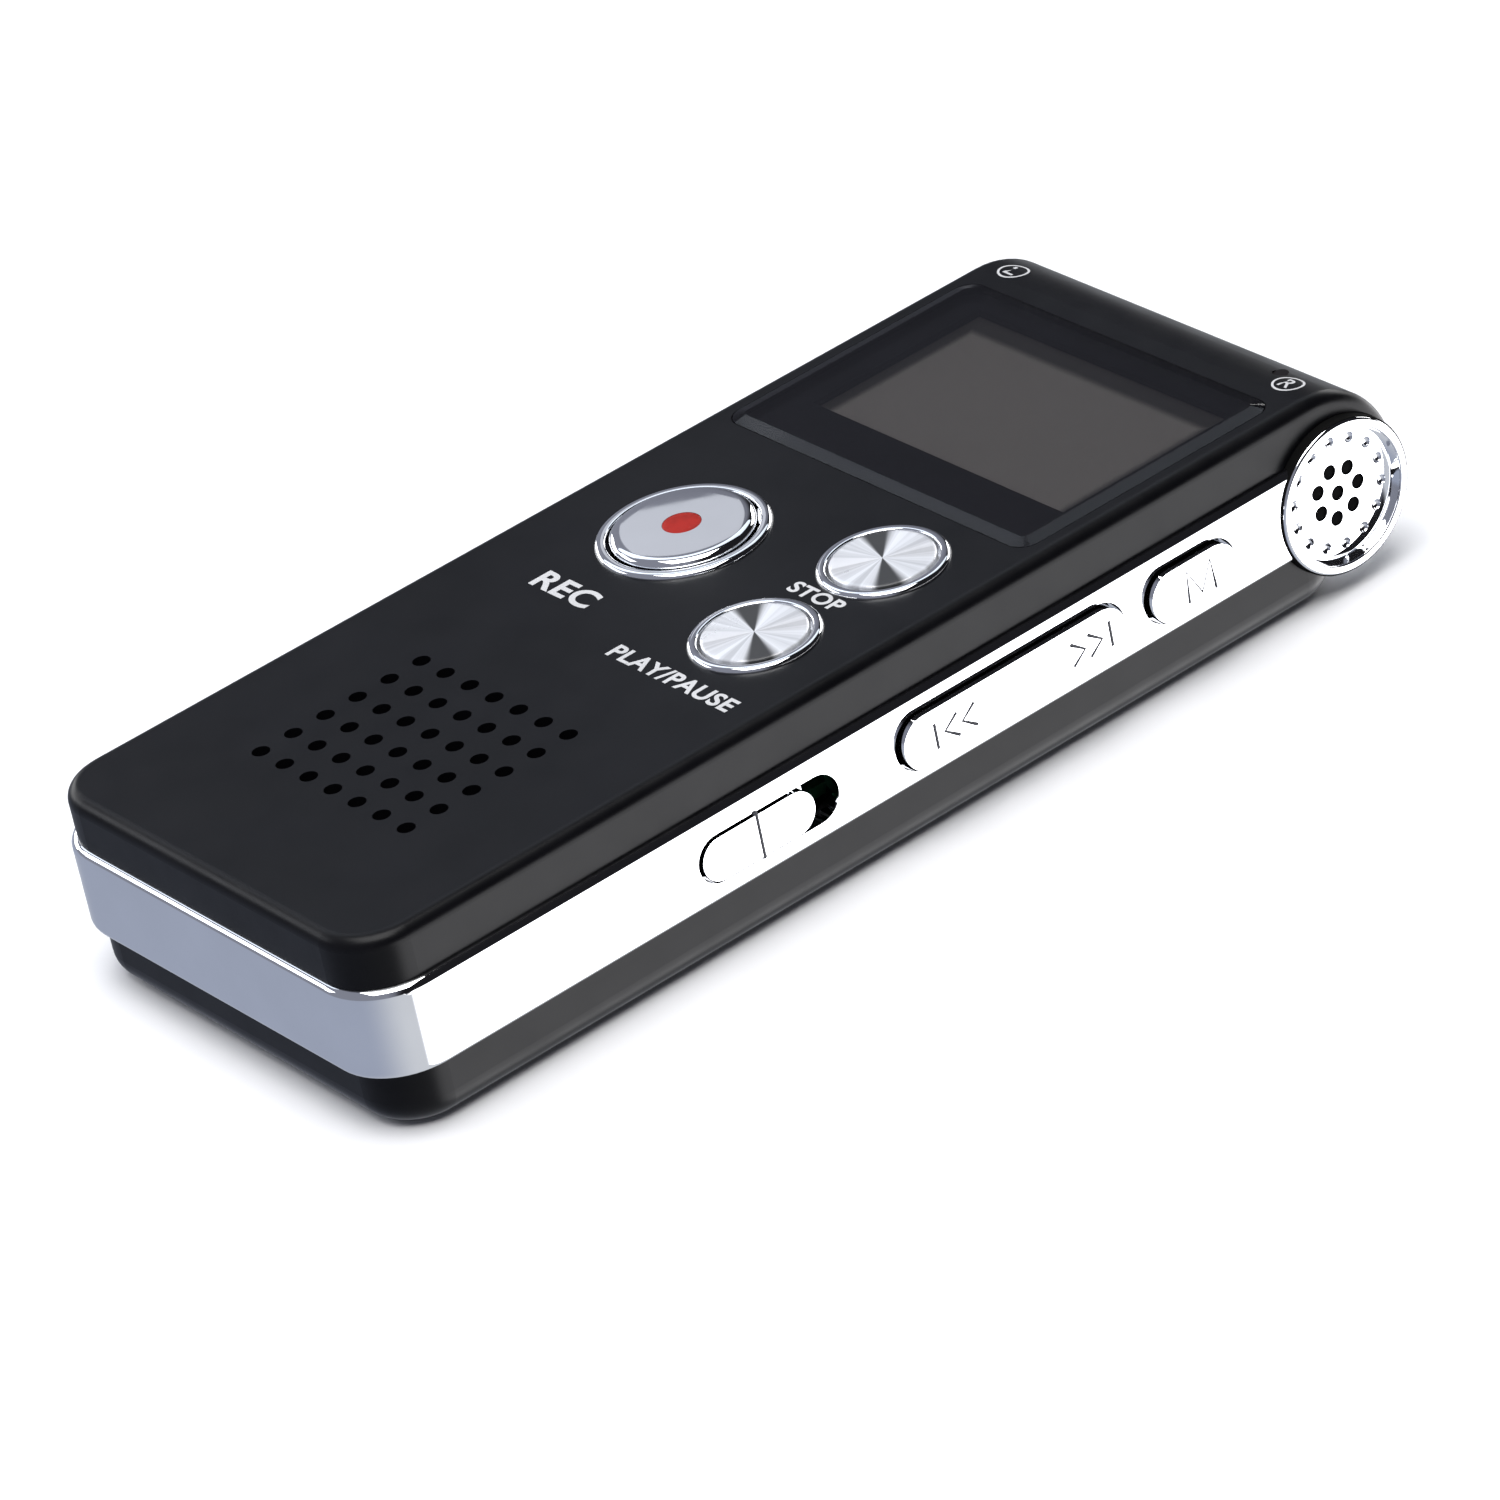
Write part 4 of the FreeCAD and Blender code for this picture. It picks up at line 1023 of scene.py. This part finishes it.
@dataclass
class Legends:
    """White print on the front face."""

    ink: float = 0.012 * MM
    words: tuple[tuple[str, str, tuple[float, float], tuple[float, float]], ...] = (
        ("legend_rec", "REC", (-9.4, -8.22), (5.7, 1.9)),
        ("legend_play_pause", "PLAY/PAUSE", (1.9, -10.82), (12.1, 1.4)),
        ("legend_stop", "STOP", (5.6, 0.87), (4.9, 1.25)),
    )
    sides: tuple[tuple[str, str, float], ...] = (("left", "L", -13.7), ("right", "R", 13.6))
    side_y: float = 36.475 * MM
    side_radius: float = 1.1 * MM
    side_line: float = 0.16 * MM
    side_size: Span = (0.95 * MM, 1.2 * MM)
    weights: Span = (0.028, 0.01)
    lift: float = 0.002 * MM
    hood: Span = (35.325 * MM, 7.35 * MM)

    def build(self) -> None:
        """Print the words and the ringed letters."""
        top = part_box("top_cover")[1].z
        for name, words, (x, y), (width, height) in self.words:
            low = Vector((x * MM, y * MM, top + self.lift))
            size = (width * MM, height * MM)
            piece = Bench.lettered(name, words, low, size, self.weights[0], self.ink)
            place(piece, WHITE_INK, "case", "white_plastic")
        for name, letter, x in self.sides:
            self.ringed_letter(name, letter, x * MM, top)

    def ringed_letter(self, name: str, letter: str, x: float, top: float) -> None:
        """Letter in a ring, bent over the start of the hood.

        Args:
            name: which side it marks.
            letter: the letter.
            x: its middle across the body.
            top: height of the front face.
        """
        middle = Vector((x, self.side_y, top + self.lift))
        low = middle - Vector((*self.side_size, 0)) / 2
        sign = Bench.lettered("sign", letter, low, self.side_size, self.weights[1], self.ink)
        outer, inner = self.side_radius, self.side_radius - self.side_line
        rings = [(outer, 0), (outer, self.ink), (inner, self.ink), (inner, 0)]
        ring = Bench.turned("ring", middle, Axis.UP, rings, PLAIN, True)
        piece = Bench.joined("legend_" + name, [sign, ring])
        self.wrap(piece, top)
        place(Bench.settle(piece), WHITE_INK, "case", "white_plastic")

    def wrap(self, piece: bpy.types.Object, top: float) -> None:
        """Roll what lies past the flat part down round the hood.

        Args:
            piece: print lying flat.
            top: height of the front face.
        """
        start, axis_z = self.hood
        radius = top - axis_z
        for vertex in piece.data.vertices:
            past = vertex.co.y - start
            if past > 0:
                reach = radius + vertex.co.z - top
                angle = past / radius
                vertex.co.y = start + reach * math.sin(angle)
                vertex.co.z = axis_z + reach * math.cos(angle)


@dataclass
class MicCaps:
    """Chrome caps on the ends of the barrel: rolled rim, cone, pierced floor and dimples."""

    node: str = "mic_cap_right"
    mirrored: str = "mic_cap_left"
    outer: float = 5.3 * MM
    inner: float = 4.66 * MM
    dish: float = 4.5 * MM
    bore: float = 4.1 * MM
    hole: float = 0.52 * MM
    circle: float = 1.75 * MM
    holes: int = 7
    wall: float = 16.4 * MM
    reach: float = 1.1 * MM
    dimple: float = 0.42 * MM
    dimple_circle: float = 3.72 * MM
    dimples: int = 14
    press_out: float = 0.16 * MM
    floor: float = 16.7 * MM
    shell: float = 16.1 * MM
    foot: Span = (0.8 * MM, 15.95 * MM)
    roll: float = 0.26 * MM
    lip: float = 0.15 * MM
    cove: Span = (0.06 * MM, 0.1 * MM)
    flat_share: float = 0.64
    eye: float = 0.06 * MM
    seal_wall: Span = (0.005 * MM, 0.075 * MM)
    seal_ends: Span = (1.5 * MM, 0.16 * MM)
    seal_bevel: Span = (0.03 * MM, 0.05 * MM)
    foam_over: float = 0.03 * MM
    foam_wall: Span = (16.15 * MM, 16.5 * MM)
    foam_dome: tuple[Ring, ...] = ((0.8, 16.55 * MM), (0.3, 16.58 * MM))

    def centre(self) -> Vector:
        """Point on the barrel's axis, in the middle of the recorder."""
        low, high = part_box(self.node)
        return Vector((0, (low.y + high.y) / 2, (low.z + high.z) / 2))

    def build(self) -> None:
        """Make the right cap, its seal and its foam, and a mirror image of each."""
        cap = self.cap()
        pieces = ((cap, CHROME, "chrome_plate"), (self.seal(), SEAL, "rubber"),
                  (self.foam(), SEAL, "rubber"))
        for piece, finish, slot in pieces:
            twin = Bench.copied(piece, MIRROR)
            twin.name = piece.name.replace("right", "left")
            twin.data.name = twin.name
            own = (self.node,) if piece is cap else ()
            other = (self.mirrored,) if piece is cap else ()
            place(Bench.settle(piece, 35), finish, "case", slot, *own)
            place(Bench.settle(twin, 35), finish, "case", slot, *other)

    def seal(self) -> bpy.types.Object:
        """Thin black rubber sleeve round the cap, in the gap between it and the covers; it also
        stands in for the shade of that gap by hiding the cap's chrome wall there.

        Returns:
            The sleeve on the right side.
        """
        low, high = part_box(self.node)
        start, end = low.x + self.seal_ends[0], high.x - self.seal_ends[1]
        inside, outside = (self.outer + over for over in self.seal_wall)
        across, along = self.seal_bevel
        rings = [(inside, start), (outside, start), (outside, end - along),
                 (outside - across, end), (inside, end)]
        return Bench.turned("mic_seal_right", self.centre(), Axis.ACROSS, rings, FINE, True)

    def foam(self) -> bpy.types.Object:
        """Foam that fills the sound holes to just under the floor, domed in each hole.

        Returns:
            The foam on the right side.
        """
        centre = self.centre()
        rings = [(self.hole + self.foam_over, x) for x in self.foam_wall]
        rings += [(self.hole * share, x) for share, x in self.foam_dome]
        middle, outer = (Bench.turned("plug", centre + Vector((0, out, 0)), Axis.ACROSS, rings,
                                      COARSE) for out in (0, self.circle))
        around = Bench.ringed(outer, centre, Axis.ACROSS, self.holes)
        return Bench.joined("mic_foam_right", [middle, around])

    def cap(self) -> bpy.types.Object:
        """Turn the cap, pierce it and press the dimples.

        Returns:
            The cap on the right side.
        """
        low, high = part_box(self.node)
        centre = self.centre()
        inset, foot = self.foot
        rings = [(self.outer - inset, low.x), (self.outer - inset, foot), (self.outer, foot)]
        rings += shoulder(self.outer, high.x, self.roll, self.roll, steps=6)
        rings += reversed(shoulder(self.inner, high.x, -self.lip, self.lip, steps=4))
        rings += [(self.dish + self.cove[0], self.floor + self.cove[1]), (self.dish, self.floor),
                  (self.dish * self.flat_share, self.floor), (self.eye, self.floor),
                  (self.eye, self.shell), (self.bore, self.shell), (self.bore, low.x)]
        piece = Bench.turned("mic_shell_right", centre, Axis.ACROSS, rings, FINE, True)
        Bench.settle(piece, 35)
        around = Bench.ringed(self.drill(centre, self.circle), centre, Axis.ACROSS, self.holes)
        Bench.cut(piece, Bench.joined("drill", [around, self.drill(centre, 0.0)]))
        self.press(piece, centre)
        return piece

    def drill(self, centre: Vector, out: float) -> bpy.types.Object:
        """Round tool as long as the cap is deep, some way out from the middle.

        Args:
            centre: a point on the barrel axis.
            out: distance from the axis.

        Returns:
            The tool.
        """
        Bench.clear()
        bpy.ops.mesh.primitive_cylinder_add(vertices=COARSE, radius=self.hole, depth=self.reach,
                                            rotation=(0, math.pi / 2, 0),
                                            location=centre + Vector((self.wall, out, 0)))
        return Bench.newest("drill")

    def press(self, piece: bpy.types.Object, centre: Vector) -> None:
        """Press the outer ring of small dimples into the floor.

        Args:
            piece: the cap.
            centre: a point on the barrel axis.
        """
        first = math.pi / self.dimples
        away = Vector((0, math.cos(first), math.sin(first))) * self.dimple_circle
        spot = centre + away + Vector((self.floor + self.press_out, 0, 0))
        Bench.clear()
        bpy.ops.mesh.primitive_uv_sphere_add(segments=20, ring_count=12, radius=self.dimple,
                                             location=spot)
        ball = Bench.newest("punch")
        Bench.cut(piece, Bench.ringed(ball, centre, Axis.ACROSS, self.dimples))


# ---- studio ----
@dataclass(frozen=True)
class SoftBox:
    """Rectangular soft light aimed at the recorder."""

    name: str
    azimuth: float
    elevation: float
    distance: float
    size: tuple[float, float]
    power: float
    tint: Colour = (1.0, 1.0, 1.0)
    aim: Point = (0, 0, 0)

    def hang(self) -> None:
        """Put the light up."""
        way = direction(self.azimuth, self.elevation)
        Bench.clear()
        bpy.ops.object.light_add(type="AREA", location=Vector(self.aim) + way * self.distance)
        lamp = bpy.context.view_layer.objects.active
        lamp.name = self.name
        lamp.rotation_euler = way.to_track_quat("Z", "Y").to_euler()
        lamp.data.shape = "RECTANGLE"
        lamp.data.size, lamp.data.size_y = self.size
        lamp.data.energy = self.power
        lamp.data.color = self.tint
        lamp.visible_camera = False


def direction(azimuth: float, elevation: float) -> Vector:
    """Unit vector from the recorder towards a viewpoint.

    Args:
        azimuth: degrees round from the speaker end towards the key side.
        elevation: degrees above the table.

    Returns:
        The vector.
    """
    turn, rise = math.radians(azimuth), math.radians(elevation)
    level = math.cos(rise)
    return Vector((math.sin(turn) * level, -math.cos(turn) * level, math.sin(rise)))


@dataclass(frozen=True)
class Room:
    """Glow of the room and, below the horizon, of the table, as reflections see them."""

    bright_way: float = 147.2
    high_dim: Colour = (0.23, 0.24, 0.29)
    high_dark: Colour = (0.012, 0.012, 0.014)
    low_cool: Colour = (0.34, 0.375, 0.475)
    low_pale: Colour = (0.62, 0.64, 0.68)
    low_bright: Colour = (4.6, 4.6, 4.7)
    pale_span: Span = (-0.7, 0.3)
    bright_span: Span = (0.42, 0.56)
    dark_span: Span = (-0.1, 0.35)
    horizon: Span = (-0.12, 0.06)

    def paint(self) -> None:
        """Make the world: four soft quarters, split by the horizon and by one upright plane."""
        world = bpy.data.worlds.new("room")
        world.use_nodes = True
        wires = Wires(world.node_tree)
        way = wires.node("ShaderNodeTexCoord", {}).outputs["Generated"]
        side = wires.node("ShaderNodeVectorMath", {0: way, 1: direction(self.bright_way, 0)},
                          operation="DOT_PRODUCT").outputs["Value"]
        height = wires.node("ShaderNodeSeparateXYZ", {0: way}).outputs["Z"]
        pale_share, bright_share, dark_share = (
            wires.spread(side, span, WHOLE, True)
            for span in (self.pale_span, self.bright_span, self.dark_span))
        pale = wires.mix(pale_share, opaque(self.low_cool), opaque(self.low_pale))
        low = wires.mix(bright_share, pale, opaque(self.low_bright))
        high = wires.mix(dark_share, opaque(self.high_dim), opaque(self.high_dark))
        above = wires.spread(height, self.horizon, WHOLE, True)
        background = world.node_tree.nodes["Background"]
        wires.feed(background.inputs["Color"], wires.mix(above, low, high))
        bpy.context.scene.world = world


@dataclass
class Studio:
    """Camera, pale table and soft light."""

    azimuth: float = 57.192
    elevation: float = 30.547
    roll: float = -12.108
    distance: float = 0.536
    aim: Point = (1.272 * MM, -1.362 * MM, 1.748 * MM)
    lens: float = 202.6
    sensor: float = 36.0
    near: float = 0.01
    table: float = 6.0
    room: Room = Room()
    boxes: tuple[SoftBox, ...] = (
        SoftBox("overhead_box", 57, 78, 1.0, (0.8, 0.8), 13.0),
        SoftBox("back_right_box", 200, 17, 0.8, (0.45, 0.24), 1.4),
        SoftBox("back_left_box", 274, 17, 0.8, (0.45, 0.24), 1.4),
        SoftBox("high_back_box", 238, 48, 1.0, (1.2, 0.42), 1.9, (0.82, 0.9, 1.0)),
        SoftBox("left_box", -55, 28, 0.8, (0.45, 0.25), 1.1, (0.93, 0.96, 1.0)),
        SoftBox("record_card", 237.2, 30.5, 0.055, (0.0125, 0.008), 0.00013, (0.92, 0.95, 1.0),
                (-5.6 * MM, 1.6 * MM, 14.8 * MM)),
    )

    def build(self) -> None:
        """Set up the camera, the table and the lights."""
        back = direction(self.azimuth, self.elevation)
        Bench.clear()
        bpy.ops.object.camera_add(location=Vector(self.aim) + back * self.distance)
        camera = bpy.context.view_layer.objects.active
        turn = Quaternion((0, 0, 1), math.radians(self.roll))
        camera.rotation_mode = "QUATERNION"
        camera.rotation_quaternion = (-back).to_track_quat("-Z", "Y") @ turn
        camera.data.lens = self.lens
        camera.data.sensor_width = self.sensor
        camera.data.clip_start = self.near
        bpy.context.scene.camera = camera
        bpy.context.scene.view_settings.view_transform = "Standard"
        self.lay_table()
        self.light()

    def lay_table(self) -> None:
        """Lay a plain pale table under the recorder."""
        Bench.clear()
        bpy.ops.mesh.primitive_plane_add(size=self.table, location=(0, 0, 0))
        table = Bench.newest("table")
        paper = Finish("pale_paper", (0.86, 0.86, 0.87), 0.6, specular=0.2, tint_shift=0.01,
                       tint_size=0.3, grain_size=0.4 * MM, grain_depth=0.002 * MM)
        table.data.materials.append(paper.material())
        table.visible_glossy = False

    def light(self) -> None:
        """Hang the lights and set the glow of the room."""
        self.room.paint()
        for box in self.boxes:
            box.hang()


def main() -> None:
    """Dress the frame, build every sub-assembly and set the studio up."""
    logging.basicConfig(level=logging.INFO, format="%(name)s %(relativeCreated)d: %(message)s")
    Housing().dress()
    RoundKey("rec", "rec_key", False, 5.8 * MM, 4.92 * MM, crown=0.03 * MM, edge_drop=0.5 * MM,
             edge_width=0.6 * MM).build()
    for name in ("play", "stop"):
        RoundKey(name, name + "_key", True, 4.35 * MM, 3.55 * MM).build()
    SideKey("menu_button", "menu_key", 7.2 * MM, 3.6 * MM,
            ((Mark.MENU, 0.45 * MM, 2.2 * MM),)).build()
    SideKey("skip_rocker", "skip_key", 18.45 * MM, 3.8 * MM,
            ((Mark.BACK, -5.1 * MM, 1.8 * MM), (Mark.FORWARD, 6.35 * MM, 1.8 * MM))).build()
    SideKey("volume_rocker", "volume_key", 18.45 * MM, 3.8 * MM,
            ((Mark.MINUS, -6.4 * MM, 1.7 * MM), (Mark.PLUS, 6.4 * MM, 1.7 * MM))).build()
    SideKey("hold_slider", "hold_slide", 8.9 * MM, 3.0 * MM,
            ((Mark.LINE, 0.1 * MM, 3.3 * MM),), rim=0.1 * MM).build()
    Window().build()
    Legends().build()
    MicCaps().build()
    Studio().build()


if __name__ == "__main__":
    main()
